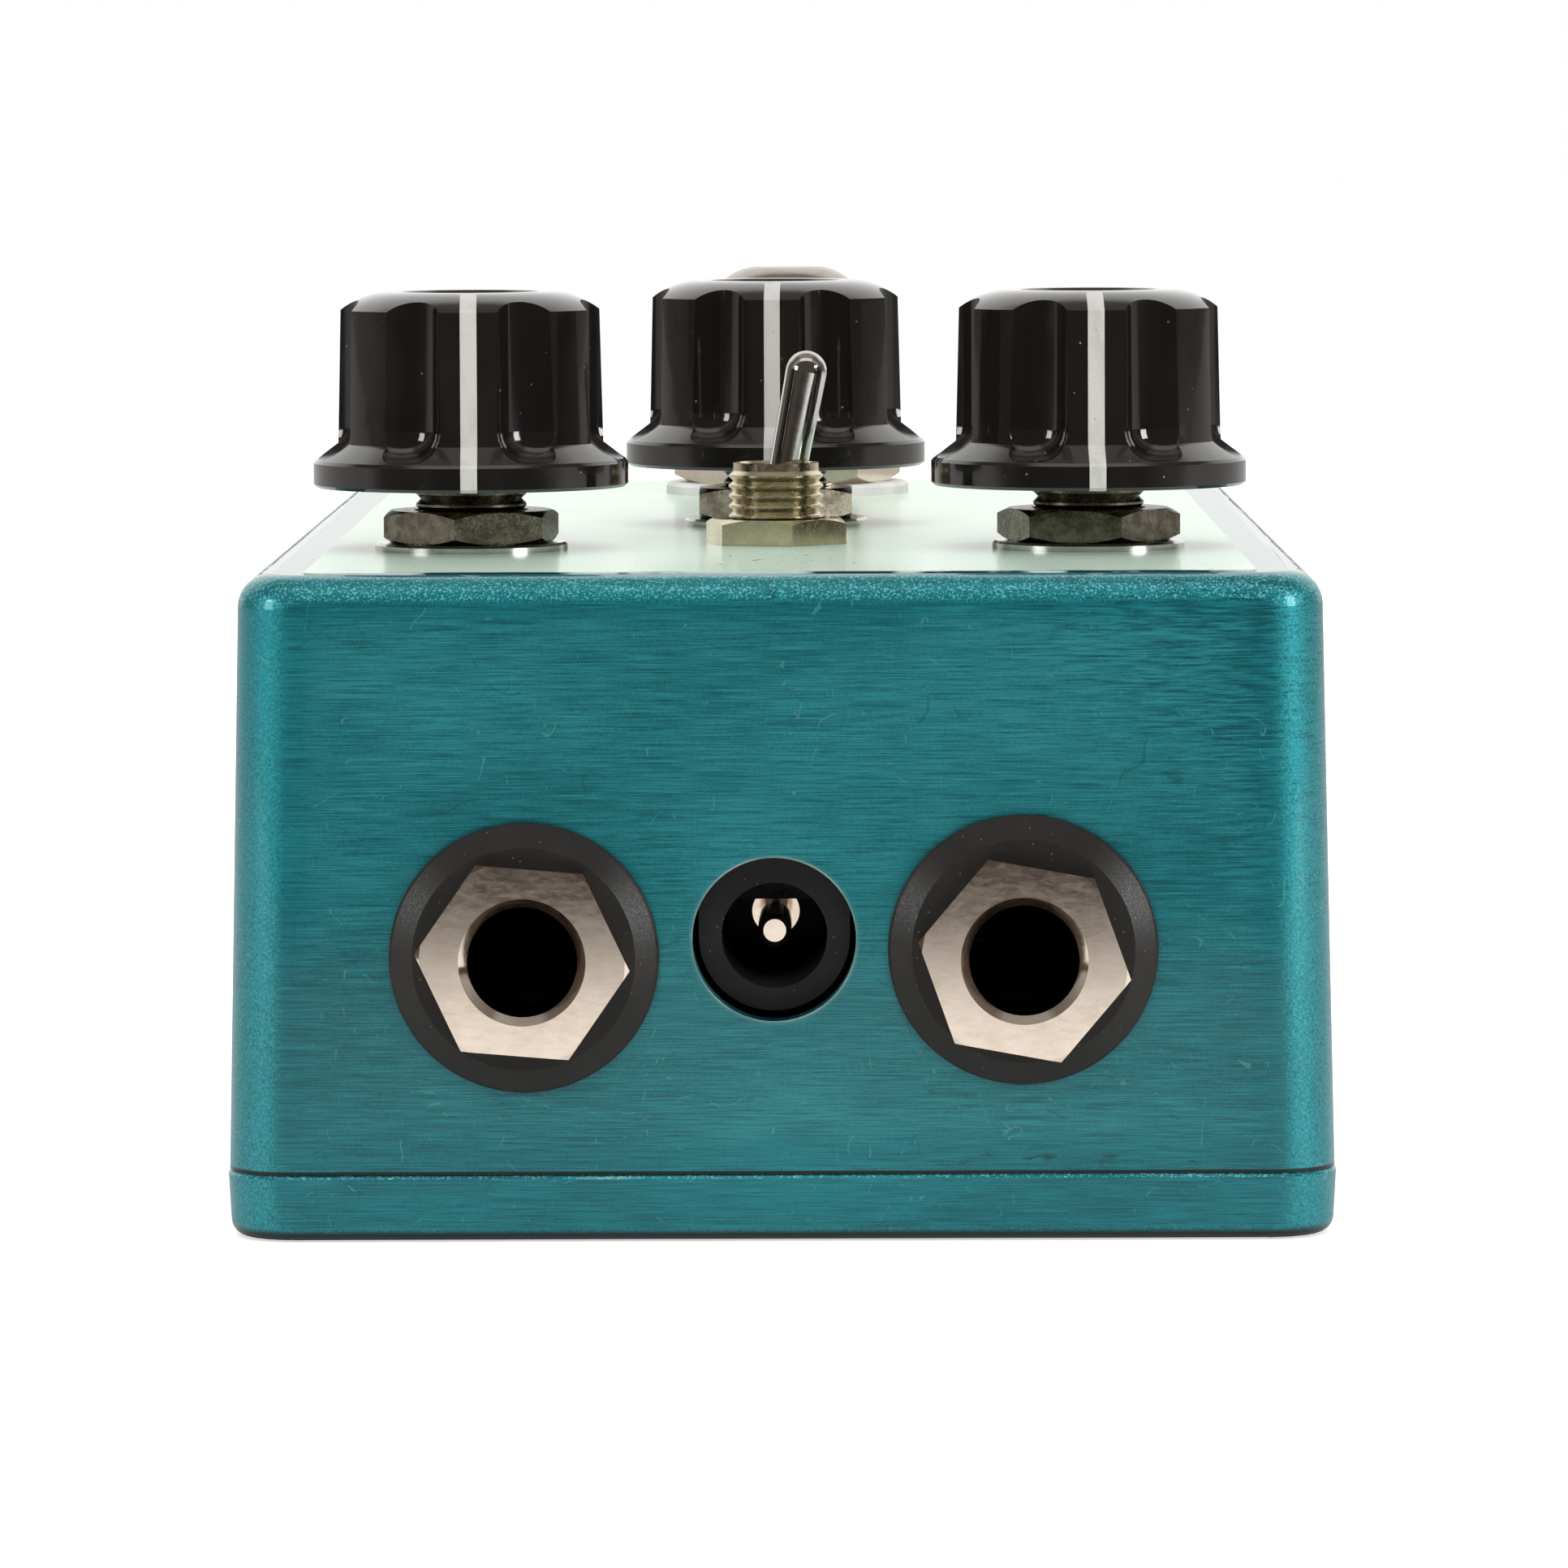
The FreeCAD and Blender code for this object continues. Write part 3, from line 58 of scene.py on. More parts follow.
class Shader:
    """A small helper that builds one material's node graph."""

    def __init__(self, name, color, roughness, metallic=0.0, coat=0.0, coat_roughness=0.03):
        self.material = bpy.data.materials.new(name)
        self.material.use_nodes = True
        self.tree = self.material.node_tree
        self.surface = self.tree.nodes["Principled BSDF"]
        self.material.diffuse_color = (*color, 1.0)
        self.put("Base Color", (*color, 1.0))
        self.put("Roughness", roughness)
        self.put("Metallic", metallic)
        self.put("Coat Weight", coat)
        self.put("Coat Roughness", coat_roughness)
        self.put("IOR", 1.5)
        self.place = self.add("ShaderNodeTexCoord").outputs["Object"]

    def add(self, kind, **settings):
        node = self.tree.nodes.new(kind)
        for key, value in settings.items():
            setattr(node, key, value)
        return node

    def feed(self, socket, value):
        if isinstance(value, bpy.types.NodeSocket):
            self.tree.links.new(value, socket)
        else:
            socket.default_value = value

    def put(self, name, value):
        self.feed(self.surface.inputs[name], value)

    def math(self, operation, first, second=0.0, third=0.0):
        node = self.add("ShaderNodeMath", operation=operation)
        for socket, value in zip(node.inputs, (first, second, third)):
            self.feed(socket, value)
        return node.outputs[0]

    def scaled(self, scale, vector=None, turn=(0.0, 0.0, 0.0)):
        """The object's own coordinates, stretched and turned."""
        node = self.add("ShaderNodeMapping")
        self.feed(node.inputs["Vector"], vector or self.place)
        node.inputs["Scale"].default_value = scale
        node.inputs["Rotation"].default_value = turn
        return node.outputs[0]

    def noise(self, vector, detail=3.0, rough=0.55, distortion=0.0):
        node = self.add("ShaderNodeTexNoise")
        self.feed(node.inputs["Vector"], vector)
        node.inputs["Scale"].default_value = 1.0
        node.inputs["Detail"].default_value = detail
        node.inputs["Roughness"].default_value = rough
        node.inputs["Distortion"].default_value = distortion
        return node.outputs["Fac"]

    def cells(self, vector):
        node = self.add("ShaderNodeTexVoronoi")
        self.feed(node.inputs["Vector"], vector)
        node.inputs["Scale"].default_value = 1.0
        return node.outputs["Distance"]

    def between(self, value, low, high, to_low=0.0, to_high=1.0):
        """Value mapped smoothly from low..high to to_low..to_high, and clamped."""
        node = self.add("ShaderNodeMapRange", interpolation_type="SMOOTHSTEP", clamp=True)
        for socket, number in zip(node.inputs, (value, low, high, to_low, to_high)):
            self.feed(socket, number)
        return node.outputs[0]

    def mixed(self, factor, first, second):
        node = self.add("ShaderNodeMix", data_type="RGBA")
        self.feed(node.inputs["Factor"], factor)
        self.feed(node.inputs["A"], first if isinstance(first, bpy.types.NodeSocket) else (*first, 1.0))
        self.feed(node.inputs["B"], second if isinstance(second, bpy.types.NodeSocket) else (*second, 1.0))
        return node.outputs["Result"]

    def parts(self, vector=None):
        node = self.add("ShaderNodeSeparateXYZ")
        self.feed(node.inputs[0], vector or self.place)
        return node.outputs

    def facing(self):
        """The three parts of the surface's direction."""
        return self.parts(self.add("ShaderNodeNewGeometry").outputs["Normal"])

    def times(self, *values):
        product = values[0]
        for value in values[1:]:
            product = self.math("MULTIPLY", product, value)
        return product

    def swayed(self, noise, reach, middle):
        """The middle value, pushed up and down by a noise that runs from 0 to 1."""
        return self.math("MULTIPLY_ADD", self.math("SUBTRACT", noise, 0.5), reach, middle)

    def window(self, value, rise, fall):
        """1 between two smooth steps and 0 outside them."""
        return self.times(self.between(value, *rise), self.between(value, *fall))

    def blended(self, factor, first, second):
        node = self.add("ShaderNodeMix", data_type="FLOAT")
        for name, value in (("Factor", factor), ("A", first), ("B", second)):
            self.feed(node.inputs[name], value)
        return node.outputs["Result"]

    def radius(self, first, second):
        return self.math("SQRT", self.math("ADD", self.math("POWER", first, 2.0),
                                           self.math("POWER", second, 2.0)))

    def joined(self, x, y, z):
        node = self.add("ShaderNodeCombineXYZ")
        for socket, value in zip(node.inputs, (x, y, z)):
            self.feed(socket, value)
        return node.outputs[0]

    def bump(self, height, strength, distance):
        node = self.add("ShaderNodeBump")
        node.inputs["Strength"].default_value = strength
        node.inputs["Distance"].default_value = distance
        self.feed(node.inputs["Height"], height)
        if self.surface.inputs["Normal"].is_linked:
            self.feed(node.inputs["Normal"], self.surface.inputs["Normal"].links[0].from_socket)
        self.put("Normal", node.outputs[0])


def hairlines(shader, scale, width, turn=(0.0, 0.0, 0.0), share=0.60):
    """Sparse, short, curved hairlines: 0 is clean, 1 is on a line."""
    wander = shader.noise(shader.scaled((scale, scale, scale), turn=turn), 1.0, 0.4)
    off = shader.math("ABSOLUTE", shader.math("SUBTRACT", wander, 0.5))
    thin = shader.between(off, width * 0.4, width, 1.0, 0.0)
    patches = shader.noise(shader.scaled((scale * 3.1,) * 3, turn=turn), 1.0, 0.4)
    return shader.times(thin, shader.between(patches, share, share + 0.03))


# ---------------------------------------------------------------- lacquered box

TEAL_DEEP = (0.0010, 0.092, 0.112)
TEAL_BRIGHT = (0.010, 0.240, 0.272)
TEAL_RUBBED = (0.030, 0.290, 0.318)
# painted glint colour, laid on the rounded edges' casting grain
TEAL_PAINTED_GLINT = (0.16, 0.62, 0.66)
LINT_COLOR = (0.13, 0.38, 0.38)
RUB_COLOR = (0.006, 0.050, 0.060)


def brushed_coordinates(shader):
    """Coordinates for brushing: along the walls' length, and across the box on its top and underside."""
    x, y, z = shader.parts()
    level = shader.between(shader.math("ABSOLUTE", shader.facing()[2]), 0.55, 0.85)
    return shader.math("ADD", x, y), shader.blended(level, z, shader.math("SUBTRACT", y, x))


def wall_middle(shader, share):
    """A rounded rectangle in each wall that ends short of the corners, top and seam, with a ragged edge."""
    x, y, z = shader.parts()
    lean = shader.math("MULTIPLY", z, DRAFT)
    past_x = shader.math("SUBTRACT", shader.math("ABSOLUTE", x),
                         shader.math("SUBTRACT", SHELL_HIGH.x - BORDER, lean))
    past_y = shader.math("SUBTRACT", shader.math("ABSOLUTE", y),
                         shader.math("SUBTRACT", SHELL_HIGH.y - BORDER, lean))
    past_side = shader.math("MINIMUM", past_x, past_y)
    past_top = shader.math("SUBTRACT", z, SHELL_HIGH.z - 2.6 * MM)
    past_seam = shader.math("SUBTRACT", SEAM + 2.2 * MM, z)
    past_end = shader.math("MAXIMUM", past_top, past_seam)
    past = shader.math("SMOOTH_MAX", past_side, past_end, 1.5 * MM)
    mottle = shader.noise(shader.scaled((260.0, 260.0, 420.0)), 3.0, 0.6)
    ragged = shader.swayed(mottle, 1.6 * MM, past)
    return shader.between(ragged, -0.9 * MM, 0.9 * MM, share, 0.0)


def lacquer(name, rubbed_share):
    """Transparent teal lacquer over hand-brushed aluminium, with a more rubbed middle to each wall, painted
    highlights and painted glints on the rounded edges.
    """
    shader = Shader(name, (0.018, 0.135, 0.160), 0.42, metallic=0.60, coat=0.40)
    x, y, z = shader.parts()
    facing = shader.facing()
    along, across = brushed_coordinates(shader)
    fine = shader.noise(shader.joined(shader.math("MULTIPLY", along, 230.0),
                                      shader.math("MULTIPLY", across, 11500.0), 0.0), 4.0, 0.75)
    coarse = shader.noise(shader.joined(shader.math("MULTIPLY", along, 110.0),
                                        shader.math("MULTIPLY", across, 2900.0), 0.3), 3.0, 0.65)
    grain = shader.noise(shader.scaled((7000.0, 7000.0, 7000.0)), 2.0, 0.6)
    cloud = shader.noise(shader.scaled((55.0, 55.0, 95.0)), 3.0, 0.55)

    # the rounded edges were missed by the brush: coarse cast grain instead of streaks, painted lighter there
    # as a painted highlight where the curve turns to the lights
    side = shader.math("MAXIMUM", shader.math("ABSOLUTE", facing[0]), shader.math("ABSOLUTE", facing[1]))
    edge = shader.between(shader.math("MAXIMUM", side, shader.math("ABSOLUTE", facing[2])), 0.992, 0.93)
    streak = shader.swayed(coarse, 0.35, shader.swayed(fine, 2.5, 0.5))
    brushing_and_edge_highlight = shader.blended(edge, shader.swayed(grain, 0.45, streak), shader.swayed(grain, 2.4, 0.85))

    # slanting rubs in the front wall's upper right corner
    rub_turn = (0.0, math.radians(-32.0), 0.0)
    diagonal = shader.noise(shader.scaled((500.0, 500.0, 7000.0), turn=rub_turn), 2.0)
    corner = shader.times(shader.between(shader.math("ADD", x, z), 42.0 * MM, 62.0 * MM),
                          shader.between(y, SHELL_LOW.y + 6.0 * MM, SHELL_LOW.y + 3.0 * MM))
    slant = shader.times(shader.math("SUBTRACT", diagonal, 0.5), corner)
    brushing_and_edge_highlight = shader.swayed(cloud, 0.6, shader.math("MULTIPLY_ADD", slant, 2.2, brushing_and_edge_highlight))

    tone = shader.between(brushing_and_edge_highlight, 0.0, 1.0)
    wear_and_reflection = shader.times(wall_middle(shader, rubbed_share), shader.between(cloud, 0.25, 0.75, 0.5, 1.0))
    color = shader.mixed(wear_and_reflection, shader.mixed(tone, TEAL_DEEP, TEAL_BRIGHT),
                         shader.mixed(tone, TEAL_DEEP, TEAL_RUBBED))
    lint = shader.math("MAXIMUM", hairlines(shader, 230.0, 0.005, (0.1, 0.9, 0.3), 0.615),
                       hairlines(shader, 390.0, 0.006, (0.7, 0.4, 1.3), 0.625))
    color = shader.mixed(shader.times(lint, 0.40), color, LINT_COLOR)
    rubs = hairlines(shader, 150.0, 0.004, (0.3, 1.2, 0.5))
    color = shader.mixed(shader.times(rubs, 0.35), color, RUB_COLOR)

    # painted glints: the casting grain is painted lighter where light would catch it, mostly on the
    # upward-facing rounded edges
    flakes = shader.noise(shader.scaled((7000.0, 7000.0, 7000.0)), 1.0, 0.5)
    painted_glint_zone = shader.times(edge, shader.between(facing[2], 0.10, 0.35, 0.12, 0.8))
    color = shader.mixed(shader.times(shader.between(flakes, 0.54, 0.66), painted_glint_zone), color, TEAL_PAINTED_GLINT)
    shader.put("Roughness", shader.between(fine, 0.2, 0.8, 0.34, 0.50))
    shader.put("Coat Weight", shader.between(facing[2], 0.6, 0.95, 0.40, 0.9))
    shader.bump(fine, 0.16, 0.02 * MM)
    return shader, color, along


def box_lacquer():
    """The box's finish, with the bare rim of the drilled socket hole, a little soot over the seam and painted
    shade in the seam gap.
    """
    shader, color, _ = lacquer("teal_box", 1.0)
    x, y, z = shader.parts()
    front = shader.between(y, SHELL_LOW.y + 3.0 * MM, SHELL_LOW.y + 2.0 * MM)
    face = shader.times(front, shader.between(shader.facing()[1], -0.80, -0.97))
    ring = shader.radius(shader.math("SUBTRACT", x, SOCKET.x), shader.math("SUBTRACT", z, SOCKET.z))
    halo = shader.times(shader.between(ring, 5.20 * MM, 4.90 * MM), face)
    color = shader.mixed(shader.times(halo, 0.30), color, (0.12, 0.32, 0.33))
    patches = shader.noise(shader.scaled((300.0, 300.0, 300.0)), 2.0)
    lip = shader.times(shader.between(ring, 4.97 * MM, 4.92 * MM), face)
    lip = shader.times(lip, shader.between(patches, 0.40, 0.62, 0.25, 0.8))
    color = shader.mixed(lip, color, (0.34, 0.42, 0.40))

    smudge = shader.noise(shader.scaled((420.0, 420.0, 1800.0)), 4.0, 0.7)
    low = shader.window(z, (SEAM + 0.3 * MM, SEAM + 0.75 * MM), (SEAM + 1.5 * MM, SEAM + 0.9 * MM))
    right = shader.window(x, (6.0 * MM, 12.0 * MM), (27.0 * MM, 24.0 * MM))
    soot = shader.times(low, right, shader.between(smudge, 0.52, 0.60), front)
    color = shader.mixed(shader.times(soot, 0.75), color, (0.012, 0.030, 0.034))
    # painted shade: a near-black line along the seam gap at the bottom of the box
    painted_seam_shade = shader.between(z, SEAM + 0.24 * MM, SEAM + 0.16 * MM)
    shader.put("Base Color", shader.mixed(painted_seam_shade, color, (0.001, 0.005, 0.006)))
    return shader.material


def lid_lacquer():
    """The lid's finish: the same lacquer, rubbed to bare metal near the seam, with painted shade in the seam
    and along the bottom edge.
    """
    shader, color, along = lacquer("teal_lid", 0.0)
    z = shader.parts()[2]
    nibble = shader.noise(shader.joined(shader.math("MULTIPLY", along, 420.0), 0.0, 0.0), 3.0, 0.7)
    reach = shader.math("MULTIPLY_ADD", nibble, 0.14 * MM, LID_HIGH.z - 0.27 * MM)
    bare = shader.between(shader.math("SUBTRACT", z, reach), 0.0, 0.04 * MM)
    left = shader.between(along, -75.0 * MM, -95.0 * MM, 0.10, 0.50)
    color = shader.mixed(shader.times(bare, left), color, (0.30, 0.33, 0.30))
    # painted shade: a near-black line in the seam at the top of the lid
    painted_seam_shade = shader.between(z, LID_HIGH.z - 0.10 * MM, LID_HIGH.z - 0.02 * MM)
    color = shader.mixed(painted_seam_shade, color, (0.004, 0.012, 0.014))
    # painted shade along the bottom edge, where the lid meets the floor
    painted_bottom_shade = shader.between(z, 0.85 * MM, 0.35 * MM)
    shader.put("Base Color", shader.mixed(painted_bottom_shade, color, (0.002, 0.010, 0.012)))
    return shader.material


def label_film():
    """Pale mint print on satin film, with the print's fine speckle, a little dirt and painted shade and
    reflections along the front edge.
    """
    shader = Shader("label_print", (0.42, 0.56, 0.47), 0.42, coat=0.55, coat_roughness=0.16)
    x, y, _ = shader.parts()
    front = LABEL_LOW.y
    dots = shader.noise(shader.scaled((5200.0, 5200.0, 5200.0)), 2.0, 0.8)
    cloud = shader.noise(shader.scaled((60.0, 60.0, 60.0)), 3.0)
    color = shader.mixed(shader.between(dots, 0.36, 0.64), (0.56, 0.80, 0.62), (0.84, 0.98, 0.88))
    color = shader.mixed(shader.between(cloud, 0.3, 0.7, 0.0, 0.16), color, (0.33, 0.47, 0.40))
    flecks = shader.between(shader.cells(shader.scaled((420.0, 420.0, 420.0))), 0.085, 0.04)
    color = shader.mixed(shader.times(flecks, 0.35), color, (0.22, 0.30, 0.27))

    # a few short dark dashes of dirt in front of the toggle
    rows = shader.math("SINE", shader.math("MULTIPLY", y, 1500.0))
    stretched = shader.joined(shader.math("MULTIPLY", x, 1500.0), shader.math("MULTIPLY", y, 320.0), 2.0)
    dash = shader.times(shader.between(shader.noise(stretched, 2.0, 0.6), 0.60, 0.64),
                        shader.between(rows, 0.2, 0.5))
    strip = shader.window(y, (front + 6.5 * MM, front + 8.0 * MM), (front + 19.0 * MM, front + 17.0 * MM))
    near = shader.times(strip, shader.between(shader.math("ABSOLUTE", x), 5.5 * MM, 3.8 * MM))
    color = shader.mixed(shader.times(dash, near), color, (0.05, 0.07, 0.065))

    # grit by the front right corner
    grit = shader.between(shader.cells(shader.scaled((900.0, 600.0, 900.0))), 0.17, 0.12)
    spot = shader.times(shader.between(x, 23.0 * MM, 26.0 * MM),
                        shader.between(y, front + 9.0 * MM, front + 3.0 * MM))
    color = shader.mixed(shader.times(grit, spot), color, (0.03, 0.07, 0.07))

    # the front edge: painted shade in dark blots and painted reflections of the white backdrop in white blots
    edge = shader.between(y, front + 0.75 * MM, front + 0.45 * MM)
    painted_reflection_blots = shader.between(shader.noise(shader.scaled((150.0, 500.0, 500.0)), 3.0, 0.6), 0.46, 0.54)
    wear_and_reflection = shader.mixed(painted_reflection_blots, (0.004, 0.045, 0.055), (0.62, 0.72, 0.70))
    shader.put("Base Color", shader.mixed(edge, color, wear_and_reflection))
    shader.put("Roughness", shader.between(dots, 0.3, 0.7, 0.34, 0.50))
    shader.bump(dots, 0.12, 0.02 * MM)
    return shader.material


# ---------------------------------------------------------------- metals


def plated(name, color, shadow, roughness, wear=0.5, swirls=0.06):
    """Plated metal: cloudy tarnish, pin-prick pits, fine swirl marks and hairline scratches."""
    shader = Shader(name, color, roughness, metallic=1.0)
    cloud = shader.noise(shader.scaled((420.0, 420.0, 420.0)), 4.0, 0.6)
    pits = shader.between(shader.cells(shader.scaled((1500.0, 1500.0, 1500.0))), 0.16, 0.06)
    swirl = shader.noise(shader.scaled((900.0, 6500.0, 2600.0), turn=(0.4, 0.3, 0.7)), 3.0, 0.7, 0.4)
    tone = shader.mixed(shader.between(cloud, 0.35, 0.72, 0.0, wear), color, shadow)
    tone = shader.mixed(shader.math("MULTIPLY", pits, 0.55 * wear), tone, shadow)
    lines = hairlines(shader, 700.0, 0.012)
    tone = shader.mixed(shader.math("MULTIPLY", lines, 0.5 * wear), tone, shadow)
    shader.put("Base Color", tone)
    shader.put("Roughness", shader.between(swirl, 0.25, 0.75, roughness * 0.7, roughness * 1.5))
    shader.bump(swirl, swirls, 0.02 * MM)
    return shader.material


def turned_metal(name, color, roughness, middle):
    """Metal turned on a lathe about a standing axis through middle: fine rings, mostly seen on flat faces."""
    shader = Shader(name, color, roughness, metallic=1.0)
    x, y, z = shader.parts()
    radius = shader.radius(shader.math("SUBTRACT", x, middle.x), shader.math("SUBTRACT", y, middle.y))
    rings = shader.noise(shader.joined(shader.math("MULTIPLY", radius, 9000.0),
                                       shader.math("MULTIPLY", z, 9000.0), 0.0), 2.0, 0.7)
    cloud = shader.noise(shader.scaled((500.0, 500.0, 500.0)), 3.0)
    dull = tuple(channel * 0.72 for channel in color)
    shader.put("Base Color", shader.mixed(shader.between(cloud, 0.3, 0.75, 0.0, 0.7), color, dull))
    shader.put("Roughness", shader.between(rings, 0.3, 0.7, roughness * 0.7, roughness * 1.4))
    shader.bump(rings, 0.10, 0.02 * MM)
    return shader.material


def dull_zinc():
    """Dark zinc plate: grey-brown and mottled, with darker spots."""
    shader = Shader("zinc", (0.19, 0.185, 0.16), 0.34, metallic=1.0)
    cloud = shader.noise(shader.scaled((900.0, 900.0, 900.0)), 5.0, 0.65)
    grain = shader.noise(shader.scaled((6500.0, 6500.0, 6500.0)), 2.0, 0.7)
    tone = shader.mixed(shader.between(cloud, 0.32, 0.68), (0.095, 0.082, 0.060), (0.235, 0.215, 0.165))
    spots = shader.between(shader.cells(shader.scaled((1100.0, 1100.0, 1100.0))), 0.2, 0.08)
    tone = shader.mixed(shader.math("MULTIPLY", spots, 0.5), tone, (0.07, 0.06, 0.05))
    shader.put("Base Color", tone)
    shader.put("Roughness", shader.between(grain, 0.3, 0.7, 0.16, 0.34))
    shader.bump(grain, 0.10, 0.02 * MM)
    return shader.material


# ---------------------------------------------------------------- plastics and the rest


def gloss_black():
    """Gloss black moulded phenolic: faint polishing swirls, dust specks and brownish fingerprints."""
    shader = Shader("knob_black", (0.0075, 0.0065, 0.006), 0.09, coat=0.6, coat_roughness=0.03)
    dust = shader.between(shader.cells(shader.scaled((900.0, 900.0, 900.0))), 0.075, 0.035)
    patch = shader.between(shader.noise(shader.scaled((330.0, 330.0, 330.0)), 2.0), 0.50, 0.60)
    specks = shader.math("MULTIPLY", dust, patch)
    smear = shader.noise(shader.scaled((260.0, 260.0, 90.0)), 3.0, 0.6)
    greasy = shader.between(smear, 0.45, 0.75, 0.0, 0.6)
    color = shader.mixed(greasy, (0.0075, 0.0065, 0.006), (0.016, 0.012, 0.010))
    shader.put("Base Color", shader.mixed(shader.times(specks, 0.7), color, (0.35, 0.33, 0.30)))
    swirl = shader.noise(shader.scaled((5200.0, 5200.0, 900.0)), 3.0, 0.6)
    shader.put("Roughness", shader.between(smear, 0.3, 0.7, 0.07, 0.15))
    shader.bump(swirl, 0.05, 0.02 * MM)
    return shader.material


def moulded(name, color, roughness, grain_size, depth):
    """Moulded plastic with spark-eroded grain, dust and slightly paler rubbed spots."""
    shader = Shader(name, color, roughness)
    shader.put("Specular IOR Level", 0.3)
    grain = shader.noise(shader.scaled((1.0 / grain_size,) * 3), 3.0, 0.6)
    cloud = shader.noise(shader.scaled((240.0, 240.0, 240.0)), 3.0)
    pale = tuple(min(1.0, channel * 1.5 + 0.004) for channel in color)
    tone = shader.mixed(shader.between(cloud, 0.35, 0.75, 0.0, 0.55), color, pale)
    dust = shader.between(shader.cells(shader.scaled((1300.0, 1300.0, 1300.0))), 0.09, 0.04)
    tone = shader.mixed(shader.math("MULTIPLY", dust, 0.30), tone, (0.30, 0.29, 0.27))
    shader.put("Base Color", tone)
    shader.put("Roughness", shader.between(grain, 0.3, 0.7, roughness - 0.08, roughness + 0.10))
    shader.bump(grain, depth, 0.03 * MM)
    return shader.material


def pointer_paint():
    """White inlay, a little grey where dirt has gathered."""
    shader = Shader("pointer_white", (0.50, 0.485, 0.46), 0.40)
    dirt = shader.noise(shader.scaled((900.0, 900.0, 260.0)), 4.0, 0.65)
    tone = shader.mixed(shader.between(dirt, 0.42, 0.78, 0.0, 0.5), (0.54, 0.525, 0.50), (0.34, 0.33, 0.31))
    specks = shader.between(shader.cells(shader.scaled((1300.0, 1300.0, 1300.0))), 0.10, 0.05)
    shader.put("Base Color", shader.mixed(shader.math("MULTIPLY", specks, 0.5), tone, (0.12, 0.11, 0.10)))
    shader.put("Roughness", shader.between(dirt, 0.3, 0.7, 0.28, 0.45))
    shader.bump(dirt, 0.08, 0.03 * MM)
    return shader.material


def lamp_lens():
    """Red tinted epoxy with a faint swirl."""
    shader = Shader("led_lens", (0.55, 0.02, 0.015), 0.08, coat=0.5)
    shader.put("Transmission Weight", 0.35)
    swirl = shader.noise(shader.scaled((900.0, 900.0, 1400.0)), 3.0)
    shader.put("Base Color", shader.mixed(swirl, (0.42, 0.012, 0.010), (0.72, 0.05, 0.035)))
    return shader.material


def circuit_board():
    """Green solder mask with the tracks and ground plane showing through as paler shapes."""
    shader = Shader("board_green", (0.02, 0.16, 0.06), 0.30, coat=0.5)
    x = shader.parts()[0]
    lanes = shader.math("SINE", shader.math("MULTIPLY", x, 2400.0))
    weave = shader.noise(shader.scaled((130.0, 420.0, 10.0)), 2.0)
    tracks = shader.math("MULTIPLY", shader.between(lanes, 0.1, 0.3), shader.between(weave, 0.48, 0.52))
    shader.put("Base Color", shader.mixed(tracks, (0.015, 0.13, 0.05), (0.04, 0.27, 0.10)))
    shader.bump(tracks, 0.2, 0.03 * MM)
    return shader.material


MATERIALS = {
    "teal_box": box_lacquer(),
    "teal_lid": lid_lacquer(),
    "label_print": label_film(),
    "screw_steel": plated("screw_steel", (0.55, 0.54, 0.52), (0.22, 0.21, 0.19), 0.30, 0.7),
    "zinc": dull_zinc(),
    "zinc_bright": plated("zinc_bright", (0.62, 0.62, 0.58), (0.30, 0.29, 0.26), 0.14, 0.5),
    "pot_shaft": turned_metal("pot_shaft", (0.74, 0.74, 0.73), 0.28, centre("left_pot_shaft")),
    "tinned_pins": plated("tinned_pins", (0.72, 0.72, 0.70), (0.40, 0.40, 0.38), 0.35),
    "knob_black": gloss_black(),
    "pointer_white": pointer_paint(),
    "insert_brass": plated("insert_brass", (0.78, 0.57, 0.27), (0.42, 0.28, 0.12), 0.26),
    "switch_plastic": moulded("switch_plastic", (0.020, 0.020, 0.021), 0.45, 0.15 * MM, 0.2),
    "nickel": plated("nickel", (0.84, 0.73, 0.62), (0.52, 0.41, 0.32), 0.075, 0.25, 0.012),
    # the toggle's nickel: part tarnish, part painted shade, with a yellow tint that is a painted reflection
    # of the mint label
    "nickel_tarnish_and_shade": plated("nickel_tarnish_and_shade", (0.78, 0.69, 0.50), (0.38, 0.30, 0.18), 0.20, 0.5),
    "lever_chrome": plated("lever_chrome", (0.62, 0.60, 0.57), (0.36, 0.33, 0.30), 0.10, 0.35),
    "button_chrome": turned_metal("button_chrome", (0.46, 0.41, 0.36), 0.18, centre("footswitch_button")),
    "washer_black": moulded("washer_black", (0.0125, 0.0115, 0.0105), 0.36, 0.10 * MM, 0.25),
    "nylon_white": moulded("nylon_white", (0.62, 0.62, 0.60), 0.40, 0.3 * MM, 0.1),
    "jack_plastic": moulded("jack_plastic", (0.0085, 0.008, 0.0078), 0.46, 0.14 * MM, 0.2),
    "spring_metal": plated("spring_metal", (0.70, 0.66, 0.58), (0.34, 0.30, 0.24), 0.25),
    "board_green": circuit_board(),
    "led_lens": lamp_lens(),
    "capacitor_sleeve": moulded("capacitor_sleeve", (0.02, 0.03, 0.10), 0.25, 0.5 * MM, 0.05),
    "film_yellow": moulded("film_yellow", (0.55, 0.33, 0.04), 0.35, 0.3 * MM, 0.1),
    "chip_black": moulded("chip_black", (0.022, 0.022, 0.024), 0.55, 0.12 * MM, 0.3),
    "resistor_blue": moulded("resistor_blue", (0.10, 0.28, 0.42), 0.35, 0.3 * MM, 0.1),
    "ribbon_grey": moulded("ribbon_grey", (0.30, 0.30, 0.32), 0.45, 0.4 * MM, 0.1),
}


